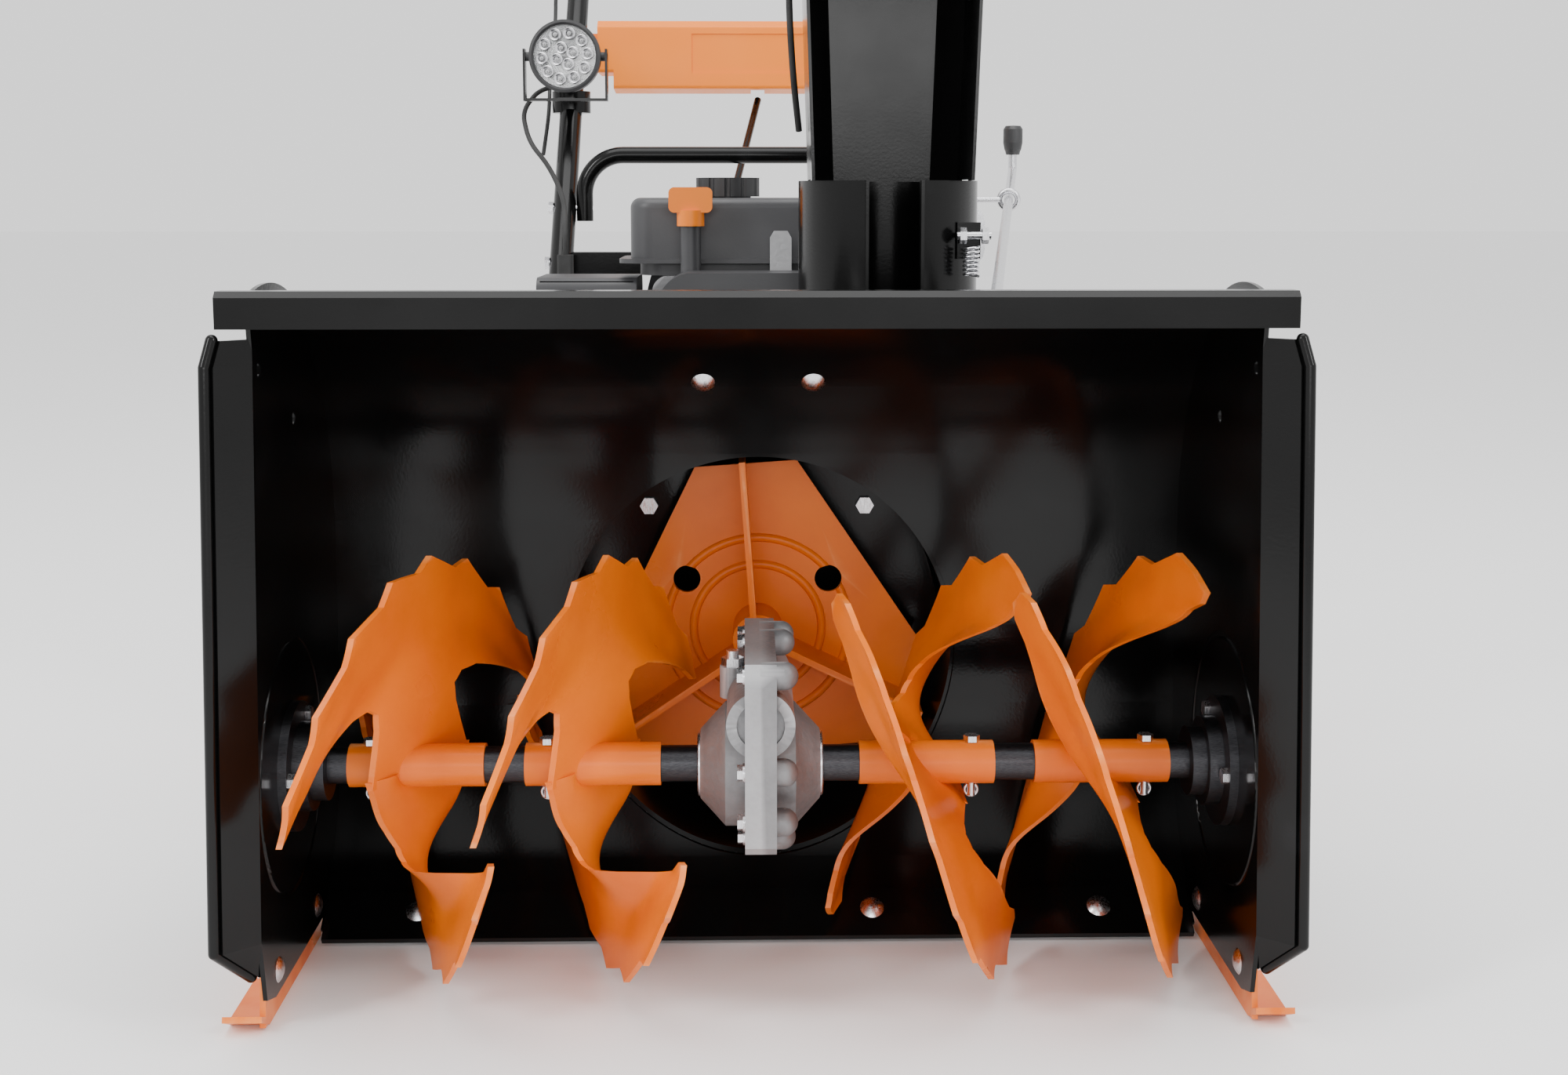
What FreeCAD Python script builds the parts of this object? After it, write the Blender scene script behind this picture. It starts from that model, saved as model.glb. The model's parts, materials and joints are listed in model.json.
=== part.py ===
import FreeCAD, Part
import math
import os

# Two stage snowblower, millimetres, +Z up, front of the machine towards -Y.
# "Depth" is the distance behind the front edge of the housing.

V = FreeCAD.Vector

# ---------------------------------------------------------------- driving dimensions
OVERALL_LENGTH = 1477.3
FRONT_HALF_WIDTH = 355.0
PLATE_INNER_X = 325.0
SHEET = 3.0
RAIL_TOP_Z = 488.0
FRONT_LEAN = 30.0

AUGER_AXIS_DEPTH = 119.0
AUGER_AXIS_Z = 155.0
AUGER_RADIUS = 147.0
AUGER_PITCH = 275.0
BLADE_SPREAD = 85.0
TEETH = 8
TOOTH_DEPTH = 9.0
WEB_SLOPE = 0.85
AUGER_SHEET = 4.0
AUGER_SHAFT_RADIUS = 12.7
AUGER_TUBE_RADIUS = AUGER_SHAFT_RADIUS + 2.3
TUBE_CENTRES = (116.0, 238.0)
TUBE_LENGTH = 94.0

WORM_OFFSET_Z = 45.0
IMPELLER_RADIUS = 143.0
IMPELLER_PLANE_DEPTH = 345.0
IMPELLER_SHAFT_RADIUS = 9.5
DRUM_GAP = 7.0
DRUM_END_DEPTH = 412.0

CHUTE_X = 104.0
CHUTE_DEPTH = 350.0
CHUTE_RADIUS = 71.0
CHUTE_BASE_Z = 440.0
CHUTE_TOP_Z = 850.0

CHASSIS_LENGTH = 390.0
CHASSIS_HALF_WIDTH = 125.0
CHASSIS_BOTTOM_Z = 110.0
CHASSIS_TOP_Z = 335.0
WHEEL_RADIUS = 203.0
WHEEL_WIDTH = 112.0
WHEEL_X = 215.0
AXLE_DEPTH = 690.0
AXLE_RADIUS = 9.5

ENGINE_AXIS_Z = 441.0
CRANKSHAFT_RADIUS = 9.5
TUBE_OUTER_RADIUS = 12.5
HANDLE_X = 205.0

RUNNING_GAP = 0.08
BOLT_GAP = 0.3
BODY_GAP = 0.4

# ---------------------------------------------------------------- derived values
FRONT_Y = AUGER_RADIUS - AUGER_AXIS_DEPTH - OVERALL_LENGTH / 2.0
IMPELLER_AXIS_Z = AUGER_AXIS_Z + WORM_OFFSET_Z
WRAP_RADIUS = AUGER_RADIUS + 9.0
DRUM_RADIUS = IMPELLER_RADIUS + DRUM_GAP
BACK_DEPTH = AUGER_AXIS_DEPTH + WRAP_RADIUS
PLATE_OUTER_X = PLATE_INNER_X + SHEET
HOOD_RADIUS = 178.0
HOOD_CENTRE_Z = RAIL_TOP_Z - HOOD_RADIUS - SHEET - 6.0
HOOD_CENTRE_DEPTH = BACK_DEPTH - HOOD_RADIUS
FLOOR_ANGLE = 55.0

# housing
SCRAPER_BOLTS = (-254.0, -84.0, 84.0, 254.0)
SCRAPER_THICKNESS = 5.0
SKID_BOLTS = ((62.0, 31.0), (178.0, 31.0))
HOOD_BOLT_ANGLE = 38.0

# impeller drum
OUTLET_RADIUS = 60.0

# auger gearbox
FLANGE_HALF = 10.5
CASE_HALF = 41.5
WHEEL_TIP_RADIUS = 34.0
WORM_TIP_RADIUS = 10.4
WHEEL_HALF_WIDTH = 8.0
WORM_FRONT = 66.0
WORM_REAR = 80.0
BOSS_RADIUS = 9.5
BOSS_END = 15.5
BOLT_END = 16.0
PLUG_X = -19.0
PLUG_DEPTH = 130.0
PLUG_SEAT_Z = 222.0
SHEAR_PIN_X = (TUBE_CENTRES[0] + 32.0, TUBE_CENTRES[1] + 32.0)

# impeller and belt drive
IMPELLER_HUB_RADIUS = 20.0
IMPELLER_TURN = 4.0
PULLEY_DEPTH = 446.0
DRIVE_PULLEY_DEPTH = 470.0

# tractor and wheels
PARTITION_DEPTH = 486.0
CHASSIS_FRONT = DRUM_END_DEPTH
CHASSIS_REAR = CHASSIS_FRONT + CHASSIS_LENGTH
DISC_AXIS_Z = 250.0
DISC_FACE_DEPTH = 560.0
DISC_RADIUS = 70.0
FRICTION_RADIUS = 60.0
HEX_SHAFT_DEPTH = DISC_FACE_DEPTH + FRICTION_RADIUS + 0.4
PINION_RADIUS = 17.0
GEAR_CENTRES = math.hypot(AXLE_DEPTH - HEX_SHAFT_DEPTH, DISC_AXIS_Z - WHEEL_RADIUS)
AXLE_GEAR_RADIUS = GEAR_CENTRES - PINION_RADIUS - 0.5
GEAR_X = -92.0

# belts
IMPELLER_PULLEY_RADIUS = 80.0
ENGINE_PULLEY_RADIUS = 38.0
DRIVE_PULLEY_RADIUS = 36.0
RIM_RADIUS = 104.0

# engine
ENGINE_FRONT = 522.0
TANK_TOP_Z = 547.0
ENGINE_TOP_Z = 478.0
TANK_FLANGE_Z = 491.0
OIL_TUBE_X = -57.0
OIL_TUBE_DEPTH = 504.0
OIL_CAP_Z = 522.0
STARTER_X = 22.0
STARTER_Z = ENGINE_AXIS_Z + 40.0
FUEL_CAP_X = -25.0
FUEL_CAP_DEPTH = 580.0

# chute
CHUTE_SHEET = 2.5
SLOT_HALF = 21.0
COLLAR_TOP_Z = 560.0
RING_TEETH = 56
RING_RADIUS = 80.0
HINGE_Z = CHUTE_TOP_Z - 12.0
CHANNEL_HALF_LOW = 60.0
CHANNEL_HALF_HIGH = 72.0

# chute crank
CRANK_START = (CHUTE_X + 88.5, 373.0, 448.0)
CRANK_EYE = (280.0, 920.0, 545.0)
CRANK_END_DEPTH = 1120.0

# handlebars and panel
HANDLE_LOW = (838.0, 450.0)
HANDLE_KNEE = (1290.0, 985.0)
HANDLE_END = (1438.0, 1018.0)
GRIP_LENGTH = 118.0
BRACE_BOLT_HEIGHTS = (536.0, 478.0)
GRIP_RADIUS = 16.0
PANEL_DEPTHS = (1048.0, 1150.0)
PANEL_HALF = 178.0
SHIFT_X = 6.0
LEVER_X = 96.0
SHIFT_PIVOT = (1104.0, 722.0)
LEVER_PIVOT = 128.0

# lamp
LAMP = (-205.0, 938.0, 700.0)
LAMP_RADIUS = 39.0


# ---------------------------------------------------------------- helpers
def yd(depth):
    return FRONT_Y + depth


def box(x0, x1, d0, d1, z0, z1):
    return Part.makeBox(x1 - x0, d1 - d0, z1 - z0, V(x0, yd(d0), z0))


def rod(start, end, radius):
    a, b = V(*start), V(*end)
    return Part.makeCylinder(radius, (b - a).Length, a, b - a)


def rod_x(x0, x1, depth, z, radius):
    return rod((x0, yd(depth), z), (x1, yd(depth), z), radius)


def rod_y(x, d0, d1, z, radius):
    return rod((x, yd(d0), z), (x, yd(d1), z), radius)


def rod_z(x, depth, z0, z1, radius):
    return rod((x, yd(depth), z0), (x, yd(depth), z1), radius)


def fuse(shapes):
    first = shapes[0]
    if len(shapes) == 1:
        return first
    return first.multiFuse(shapes[1:]).removeSplitter()


def mirrored(shape):
    return shape.mirror(V(0, 0, 0), V(1, 0, 0))


def wire(edges):
    return Part.Wire(Part.__sortEdges__(edges))


def line(a, b):
    return Part.LineSegment(a, b).toShape()


def arc(a, middle, b):
    return Part.Arc(a, middle, b).toShape()


def polygon(points):
    return Part.makePolygon(list(points) + [points[0]])


def slab_x(outline, x0, x1):
    """Extrude a closed outline, given as (depth, z) points, between two X values."""
    points = [V(x0, yd(d), z) for d, z in outline]
    return Part.Face(polygon(points)).extrude(V(x1 - x0, 0, 0))


def slab_y(outline, d0, d1):
    """Extrude a closed outline, given as (x, z) points, between two depths."""
    points = [V(x, yd(d0), z) for x, z in outline]
    return Part.Face(polygon(points)).extrude(V(0, d1 - d0, 0))


def slab_z(outline, z0, z1):
    """Extrude a closed outline, given as (x, depth) points, between two heights."""
    points = [V(x, yd(d), z0) for x, d in outline]
    return Part.Face(polygon(points)).extrude(V(0, 0, z1 - z0))


def round_edges(shape, radius, keep):
    """Fillet the edges for which keep(edge) is true."""
    edges = [e for e in shape.Edges if keep(e)]
    return shape.makeFillet(radius, edges) if edges else shape


def along(axis):
    """Tell whether a straight edge runs along one axis (0, 1 or 2)."""
    def test(edge):
        if edge.Curve.TypeId != "Part::GeomLine":
            return False
        return abs(edge.tangentAt(edge.FirstParameter)[axis]) > 0.999
    return test


def rounded_box(x0, x1, d0, d1, z0, z1, radius, axis):
    return round_edges(box(x0, x1, d0, d1, z0, z1), radius, along(axis))


def bent_wire(points, bend):
    """Straight runs between points, joined by tangent arcs of one bend radius."""
    corners = [V(*p) for p in points]
    edges = []
    at = corners[0]
    for before, corner, after in zip(corners, corners[1:], corners[2:]):
        into = (corner - before).normalize()
        out = (after - corner).normalize()
        turn = into.getAngle(out)
        reach = bend * math.tan(turn / 2.0)
        start = corner - into * reach
        end = corner + out * reach
        inward = (out - into).normalize()
        middle = corner + inward * (bend / math.cos(turn / 2.0) - bend)
        edges.append(line(at, start))
        edges.append(arc(start, middle, end))
        at = end
    edges.append(line(at, corners[-1]))
    return Part.Wire(edges)


def pipe(points, bend, radius, bore=0.0):
    """Round tube along a bent line, hollow when a bore radius is given."""
    path = bent_wire(points, bend)
    start = V(*points[0])
    heading = V(*points[1]) - start
    shapes = []
    for r in (radius, bore):
        if r > 0.0:
            ring = Part.Wire([Part.makeCircle(r, start, heading)])
            shapes.append(path.makePipeShell([ring], True, False))
    if len(shapes) == 2:
        return shapes[0].cut(shapes[1])
    return shapes[0]


def cord(name, points, radius):
    """Cord along straight runs joined by arcs sized from the shorter run; prints the bends."""
    corners = [V(*p) for p in points]
    edges = []
    at = corners[0]
    radii = []
    for before, corner, after in zip(corners, corners[1:], corners[2:]):
        into = corner - before
        out = after - corner
        turn = into.getAngle(out)
        bend = 0.45 * min(into.Length, out.Length) / math.tan(turn / 2.0)
        reach = bend * math.tan(turn / 2.0)
        into.normalize()
        out.normalize()
        start = corner - into * reach
        end = corner + out * reach
        inward = (out - into).normalize()
        middle = corner + inward * (bend / math.cos(turn / 2.0) - bend)
        edges.append(line(at, start))
        edges.append(arc(start, middle, end))
        radii.append(bend)
        at = end
    edges.append(line(at, corners[-1]))
    path = Part.Wire(edges)
    ring = Part.Wire([Part.makeCircle(radius, corners[0], corners[1] - corners[0])])
    shape = path.makePipeShell([ring], True, False)
    expected = math.pi * radius * radius * path.Length
    print("cord", name, "length", round(path.Length, 1), "tightest bend", round(min(radii), 1),
          "volume ratio", round(shape.Volume / expected, 4))
    return shape


def hex_prism(x, y, z, direction, across_flats, height):
    """Hexagonal head with its base centre at a point and its height along a direction."""
    radius = across_flats / math.sqrt(3.0)
    points = []
    for k in range(6):
        angle = math.radians(60.0 * k)
        points.append(V(radius * math.cos(angle), radius * math.sin(angle), 0))
    head = Part.Face(polygon(points)).extrude(V(0, 0, height))
    head.Placement = FreeCAD.Placement(V(x, y, z), FreeCAD.Rotation(V(0, 0, 1), V(*direction)))
    return head


def bolt(x, y, z, direction, radius, grip):
    """Hex bolt whose head sits on a face at a point; its shank runs the other way."""
    head = hex_prism(x, y, z, direction, radius * 3.3, radius * 1.4)
    d = V(*direction)
    shank = Part.makeCylinder(radius, grip, V(x, y, z) - d * grip, d)
    return fuse([head, shank])


def dome_bolt(x, y, z, direction, radius, grip, overrun):
    """Carriage bolt with a low domed head, a shank through the grip and a nut beyond it."""
    d = V(*direction)
    at = V(x, y, z)
    ball_radius = radius * 3.2
    ball = Part.makeSphere(ball_radius, at - d * (ball_radius * 0.72))
    keep = Part.makeCylinder(ball_radius, ball_radius, at, d)
    shank = Part.makeCylinder(radius, grip + overrun, at - d * (grip + overrun), d)
    nut_at = at - d * grip
    back = (-d.x, -d.y, -d.z)
    nut = hex_prism(nut_at.x, nut_at.y, nut_at.z, back, radius * 3.3, radius * 1.5)
    return fuse([ball.common(keep), shank, nut])


def export(name, shapes):
    shape = shapes if isinstance(shapes, Part.Shape) else Part.Compound(shapes)
    solids = shape.Solids
    if not solids or not shape.isValid():
        print("PROBLEM", name, len(solids), shape.isValid())
    body = solids[0] if len(solids) == 1 else Part.Compound(solids)
    body.exportStep("parts/" + name + ".step")
    return body


# ---------------------------------------------------------------- housing
def polar(depth, z, radius, degrees):
    """Point (depth, z) on a circle; 0 degrees is rearward, 90 is up."""
    a = math.radians(degrees)
    return depth + radius * math.cos(a), z + radius * math.sin(a)


def floor_point(along_floor, inward):
    """Point (depth, z) on the flat floor: a distance towards the front and one off its face."""
    start = polar(AUGER_AXIS_DEPTH, AUGER_AXIS_Z, WRAP_RADIUS - inward, -FLOOR_ANGLE)
    a = math.radians(FLOOR_ANGLE)
    return start[0] - along_floor * math.sin(a), start[1] - along_floor * math.cos(a)


def wrap_line(x, offset):
    """Edges of the curved back sheet's section at an offset from its inner face."""
    def at(point):
        return V(x, yd(point[0]), point[1])
    low_radius = WRAP_RADIUS + offset
    high_radius = HOOD_RADIUS + offset
    floor_end = at(floor_point(30.0, -offset))
    floor_start = at(floor_point(0.0, -offset))
    low_middle = at(polar(AUGER_AXIS_DEPTH, AUGER_AXIS_Z, low_radius, -FLOOR_ANGLE / 2.0))
    low_end = at(polar(AUGER_AXIS_DEPTH, AUGER_AXIS_Z, low_radius, 0.0))
    high_start = at(polar(HOOD_CENTRE_DEPTH, HOOD_CENTRE_Z, high_radius, 0.0))
    high_middle = at(polar(HOOD_CENTRE_DEPTH, HOOD_CENTRE_Z, high_radius, 51.0))
    high_end = at(polar(HOOD_CENTRE_DEPTH, HOOD_CENTRE_Z, high_radius, 102.0))
    edges = [line(floor_end, floor_start), arc(floor_start, low_middle, low_end)]
    edges += [line(low_end, high_start), arc(high_start, high_middle, high_end)]
    return edges, floor_end, high_end


def bucket_space(offset):
    """Solid filling the housing up to an offset from the back sheet's inner face."""
    x = -PLATE_INNER_X - 60.0
    edges, low, high = wrap_line(x, offset)
    front_high = V(x, yd(-50.0), high.z)
    front_low = V(x, yd(-50.0), low.z)
    edges += [line(high, front_high), line(front_high, front_low), line(front_low, low)]
    return Part.Face(wire(edges)).extrude(V(-2.0 * x, 0, 0))


def auger_housing():
    x = -PLATE_INNER_X
    inner, inner_low, inner_high = wrap_line(x, 0.0)
    outer, outer_low, outer_high = wrap_line(x, SHEET)
    edges = inner + outer + [line(inner_low, outer_low), line(inner_high, outer_high)]
    sheet = Part.Face(wire(edges)).extrude(V(2.0 * PLATE_INNER_X, 0, 0))
    ribs = []
    for rib_x in (165.0, 215.0, 250.0):
        for side in (-1.0, 1.0):
            bead = rod_z(side * rib_x, BACK_DEPTH + 1.0, 190.0, HOOD_CENTRE_Z, 6.0)
            ribs.append(bead.cut(bucket_space(1.0)))
    sheet = fuse([sheet] + ribs)
    sheet = sheet.cut(rod_y(0.0, 150.0, 320.0, IMPELLER_AXIS_Z, DRUM_RADIUS + SHEET))
    for x in (-41.0, 41.0):
        start, direction = hood_bolt_place(x)
        sheet = sheet.cut(Part.makeCylinder(4.0 + BOLT_GAP, 12.0, start - direction * 6.0, direction))
    for x in SCRAPER_BOLTS:
        start, direction = scraper_bolt_place(x)
        sheet = sheet.cut(Part.makeCylinder(4.0 + BOLT_GAP, 24.0, start - direction * 12.0, direction))
    return sheet


def hood_bolt_place(x):
    """Point on the hood's inner face and the direction pointing into the housing."""
    d, z = polar(HOOD_CENTRE_DEPTH, HOOD_CENTRE_Z, HOOD_RADIUS, HOOD_BOLT_ANGLE)
    a = math.radians(HOOD_BOLT_ANGLE)
    return V(x, yd(d), z), V(0, -math.cos(a), -math.sin(a))


def scraper_bolt_place(x):
    """Point on the scraper's upper face and the direction towards the auger axis."""
    d, z = floor_point(18.0, SCRAPER_THICKNESS)
    a = math.radians(FLOOR_ANGLE)
    return V(x, yd(d), z), V(0, -math.cos(a), math.sin(a))


def scraper_bar():
    half = PLATE_INNER_X - 3.0
    corners = [floor_point(1.0, 0.0), floor_point(42.0, 0.0)]
    corners += [floor_point(42.0, SCRAPER_THICKNESS), floor_point(1.0, SCRAPER_THICKNESS)]
    bar = slab_x(corners, -half, half)
    for x in SCRAPER_BOLTS:
        start, direction = scraper_bolt_place(x)
        bar = bar.cut(Part.makeCylinder(4.0 + BOLT_GAP, 24.0, start - direction * 12.0, direction))
    return bar


def side_plate():
    """Right side plate with its flared front edge; the left one is its mirror image."""
    margin = WRAP_RADIUS + 14.0
    hood = HOOD_RADIUS + 12.0
    x = PLATE_INNER_X

    def at(d, z):
        return V(x, yd(d), z)

    def on(depth, z, radius, degrees):
        return at(*polar(depth, z, radius, degrees))

    low = on(AUGER_AXIS_DEPTH, AUGER_AXIS_Z, margin, -55.0)
    back_low = on(AUGER_AXIS_DEPTH, AUGER_AXIS_Z, margin, 0.0)
    back_high = on(HOOD_CENTRE_DEPTH, HOOD_CENTRE_Z, hood, 0.0)
    top = on(HOOD_CENTRE_DEPTH, HOOD_CENTRE_Z, hood, 106.0)
    low_d, high_d = 22.0, 22.0 + FRONT_LEAN
    edges = [line(at(low_d, 60.0), at(high_d, 442.0)), line(at(high_d, 442.0), top)]
    edges.append(arc(top, on(HOOD_CENTRE_DEPTH, HOOD_CENTRE_Z, hood, 50.0), back_high))
    edges.append(line(back_high, back_low))
    edges.append(arc(back_low, on(AUGER_AXIS_DEPTH, AUGER_AXIS_Z, margin, -28.0), low))
    edges.append(line(low, at(52.0, low.z)))
    edges.append(line(at(52.0, low.z), at(30.0, low.z + 7.0)))
    edges.append(line(at(30.0, low.z + 7.0), at(low_d, 60.0)))
    plate = Part.Face(wire(edges)).extrude(V(SHEET, 0, 0))
    flare = []
    rim = []
    for z, lean, reach in ((40.0, 12.0, 4.0), (66.0, 0.0, 20.0), (440.0, FRONT_LEAN, 20.0),
                           (457.0, FRONT_LEAN + 1.0, 16.0)):
        front = 2.0 + lean + 0.8 * (20.0 - reach)
        section = [(x, 24.0 + lean), (x, 20.0 + lean), (x + reach, front)]
        section += [(x + reach + SHEET, front + 3.0), (PLATE_OUTER_X, 22.0 + lean)]
        section.append((PLATE_OUTER_X, 26.0 + lean))
        flare.append(polygon([at(fd, z).add(V(fx - x, 0, 0)) for fx, fd in section]))
        rim.append(at(front + 2.0, z).add(V(reach + 6.0, 0, 0)))
    pieces = [plate, Part.makeLoft(flare, True, True)]
    for start, stop in zip(rim[:-1], rim[1:]):
        pieces.append(rod(tuple(start), tuple(stop), 4.0))
    for corner in rim:
        pieces.append(Part.makeSphere(4.0, corner))
    plate = fuse(pieces)
    inside = box(x - 30.0, x, -20.0, 320.0, 0.0, 520.0)
    plate = plate.cut(inside)
    ring_place = V(PLATE_OUTER_X, yd(AUGER_AXIS_DEPTH), AUGER_AXIS_Z)
    rib = Part.makeTorus(88.0, 4.5, ring_place, V(1, 0, 0))
    outside = box(PLATE_OUTER_X - 1.0, PLATE_OUTER_X + 20.0, -20.0, 320.0, 0.0, 520.0)
    plate = fuse([plate, rib.common(outside)])
    plate = plate.cut(Part.makeTorus(88.0, 3.0, V(x, ring_place.y, ring_place.z), V(1, 0, 0)))
    for d, z in ((66.0, 436.0), (156.0, 394.0)):
        plate = plate.cut(rod_x(x - 5.0, x + 12.0, d, z, 5.0))
    for d, z in SKID_BOLTS:
        plate = plate.cut(rod_x(x - 5.0, x + 12.0, d, z, 4.0 + BOLT_GAP))
    for d, z in bearing_bolt_places():
        plate = plate.cut(rod_x(x - 5.0, x + 12.0, d, z, 3.0 + BOLT_GAP))
    return plate


def front_rail():
    """Folded bar along the top front edge, with its lower lip turned under."""
    half = 345.0
    inner = HOOD_RADIUS
    low = polar(HOOD_CENTRE_DEPTH, HOOD_CENTRE_Z, inner + SHEET, 102.0)
    outline = [(low[0] - 22.0, low[1] - 14.0), (low[0] - 22.0, RAIL_TOP_Z - 4.0)]
    outline += [(low[0] - 18.0, RAIL_TOP_Z), (low[0] - 2.0, RAIL_TOP_Z)]
    outline += [(low[0] - 0.5, RAIL_TOP_Z - 2.0), (low[0] - 0.5, low[1] - 14.0)]
    rail = slab_x(outline, -half, half)
    hollow = [(low[0] - 19.0, low[1] - 20.0), (low[0] - 19.0, RAIL_TOP_Z - 5.0)]
    hollow += [(low[0] - 4.0, RAIL_TOP_Z - 5.0), (low[0] - 4.0, low[1] - 20.0)]
    rail = rail.cut(slab_x(hollow, -half - 1.0, half + 1.0))
    for plate in (side_plate(), mirrored(side_plate())):
        rail = rail.cut(plate)
    return rail


def skid_shoe():
    """Right skid shoe: a slotted plate outside the side plate, its sole turned outward."""
    x = PLATE_OUTER_X
    outline = [(34.0, 2.0), (40.0, 44.0), (50.0, 52.0), (192.0, 52.0), (202.0, 44.0), (206.0, 2.0)]
    plate = slab_x(outline, x, x + 4.0)
    sole = [(24.0, 10.0), (44.0, 0.0), (196.0, 0.0), (216.0, 10.0)]
    sole += [(215.0, 14.0), (195.0, 4.5), (45.0, 4.5), (25.0, 14.0)]
    foot = slab_x(sole, x, FRONT_HALF_WIDTH - 1.0)
    shoe = fuse([plate, foot])
    for d, z in SKID_BOLTS:
        slot = fuse([rod_x(x - 2, x + 8, d, z - 5.0, 4.5), rod_x(x - 2, x + 8, d, z + 5.0, 4.5),
                     box(x - 2, x + 8, d - 4.5, d + 4.5, z - 5.0, z + 5.0)])
        shoe = shoe.cut(slot)
    return shoe


def bearing_bolt_places():
    return [polar(AUGER_AXIS_DEPTH, AUGER_AXIS_Z, 37.0, a) for a in (60.0, 180.0, 300.0)]


def auger_bearing():
    """Right bearing housing of the auger shaft, fixed inside the side plate."""
    d, z = AUGER_AXIS_DEPTH, AUGER_AXIS_Z
    x = PLATE_INNER_X
    body = fuse([rod_x(x - 6.0, x, d, z, 45.0), rod_x(x - 16.0, x - 5.0, d, z, 31.0),
                 rod_x(x - 26.0, x - 15.0, d, z, 24.0)])
    body = body.cut(rod_x(x - 30.0, x - 3.0, d, z, AUGER_SHAFT_RADIUS + RUNNING_GAP))
    for bolt_d, bolt_z in bearing_bolt_places():
        body = body.cut(rod_x(x - 10.0, x + 2.0, bolt_d, bolt_z, 3.0 + BOLT_GAP))
    return body


def housing_bolts():
    """Domed bolts of the scraper, skids and hood."""
    bolts = []
    for x in SCRAPER_BOLTS:
        start, direction = scraper_bolt_place(x)
        bolts.append(dome_bolt(start.x, start.y, start.z, (0, direction.y, direction.z),
                               4.0, SCRAPER_THICKNESS + SHEET, 2.0))
    for x in (-41.0, 41.0):
        start, direction = hood_bolt_place(x)
        start = start + direction * 0.3
        bolts.append(dome_bolt(start.x, start.y, start.z, (0, direction.y, direction.z),
                               4.0, SHEET + 0.3, 8.0))
    for side in (-1.0, 1.0):
        for d, z in SKID_BOLTS:
            bolts.append(dome_bolt(side * PLATE_INNER_X, yd(d), z, (-side, 0, 0), 4.0, 7.0, 8.0))
    return bolts


def bearing_bolts():
    bolts = []
    for side in (-1.0, 1.0):
        for d, z in bearing_bolt_places():
            x = PLATE_INNER_X - 6.0
            head = bolt(side * x, yd(d), z, (-side, 0, 0), 3.0, 14.0)
            nut = hex_prism(side * PLATE_OUTER_X, yd(d), z, (side, 0, 0), 10.0, 4.5)
            bolts.append(fuse([head, nut]))
    return bolts


def impeller_drum():
    """Drum behind the housing with its rear plate and the round outlet to the chute."""
    z = IMPELLER_AXIS_Z
    outer = fuse([rod_y(0.0, 180.0, DRUM_END_DEPTH, z, DRUM_RADIUS + SHEET),
                  outlet_solid(OUTLET_RADIUS, CHUTE_BASE_Z, 0.0),
                  rod_z(CHUTE_X, CHUTE_DEPTH, CHUTE_BASE_Z - 8.0, CHUTE_BASE_Z, OUTLET_RADIUS + 14.0)])
    inner = rod_y(0.0, 170.0, DRUM_END_DEPTH - 4.0, z, DRUM_RADIUS)
    outer = outer.cut(inner)
    outer = outer.cut(outlet_solid(OUTLET_RADIUS - SHEET, CHUTE_BASE_Z + 5.0, SHEET))
    outer = outer.cut(bucket_space(SHEET))
    outer = outer.cut(rod_y(0.0, 390.0, 430.0, z, IMPELLER_SHAFT_RADIUS + RUNNING_GAP))
    for k in range(4):
        a = math.radians(45.0 + 90.0 * k)
        x, bolt_z = 128.0 * math.cos(a), z + 128.0 * math.sin(a)
        outer = outer.cut(rod_y(x, 400.0, 420.0, bolt_z, 4.0 + BOLT_GAP))
    return outer


def outlet_solid(radius, top, lift):
    """Upright outlet whose lower outside is closed by a sloping face."""
    pipe_solid = rod_z(CHUTE_X, CHUTE_DEPTH, IMPELLER_AXIS_Z - 10.0, top, radius)
    edge = DRUM_RADIUS - 6.0
    slope = [(edge, IMPELLER_AXIS_Z - 40.0), (edge, IMPELLER_AXIS_Z + lift)]
    slope += [(edge + 45.0, IMPELLER_AXIS_Z + 62.0 + lift), (edge + 45.0, IMPELLER_AXIS_Z - 40.0)]
    return pipe_solid.cut(slab_y(slope, CHUTE_DEPTH - 90.0, CHUTE_DEPTH + 90.0))


# ---------------------------------------------------------------- gearbox and augers


def gearbox_bolt_places():
    """Bolt centres (depth, z) round the split flange."""
    d, z = AUGER_AXIS_DEPTH, AUGER_AXIS_Z
    top = IMPELLER_AXIS_Z + 33.0
    places = [(d - WORM_FRONT + 4.0, top), (d - WORM_FRONT + 4.0, z + 12.0), (d - 56.0, z - 24.0)]
    places += [polar(d, z, 53.0, a) for a in (-90.0, -30.0)]
    places += [(d + WORM_REAR - 46.0, top), (d + WORM_REAR - 20.0, top), (d + 62.0, z + 8.0)]
    return places


def gearbox_flange(reach):
    """Half of the split flange: an upright front edge, round below, flat on top."""
    d, z = AUGER_AXIS_DEPTH, AUGER_AXIS_Z
    front = d - WORM_FRONT - 9.0
    top = IMPELLER_AXIS_Z + 42.0
    face = [(front, z - 36.0), (front, top - 14.0), (front + 8.0, top)]
    face += [(d + WORM_REAR - 8.0, top), (d + WORM_REAR - 8.0, IMPELLER_AXIS_Z - 26.0)]
    face += [(d, z), (d - 40.0, z - 44.0), (front + 6.0, z - 42.0)]
    shapes = [slab_x(face, 0.0, reach), rod_x(0.0, reach, d, z, 56.0)]
    for bolt_d, bolt_z in gearbox_bolt_places():
        shapes.append(rod_x(0.0, reach, bolt_d, bolt_z, 9.0))
    return fuse(shapes)


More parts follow.
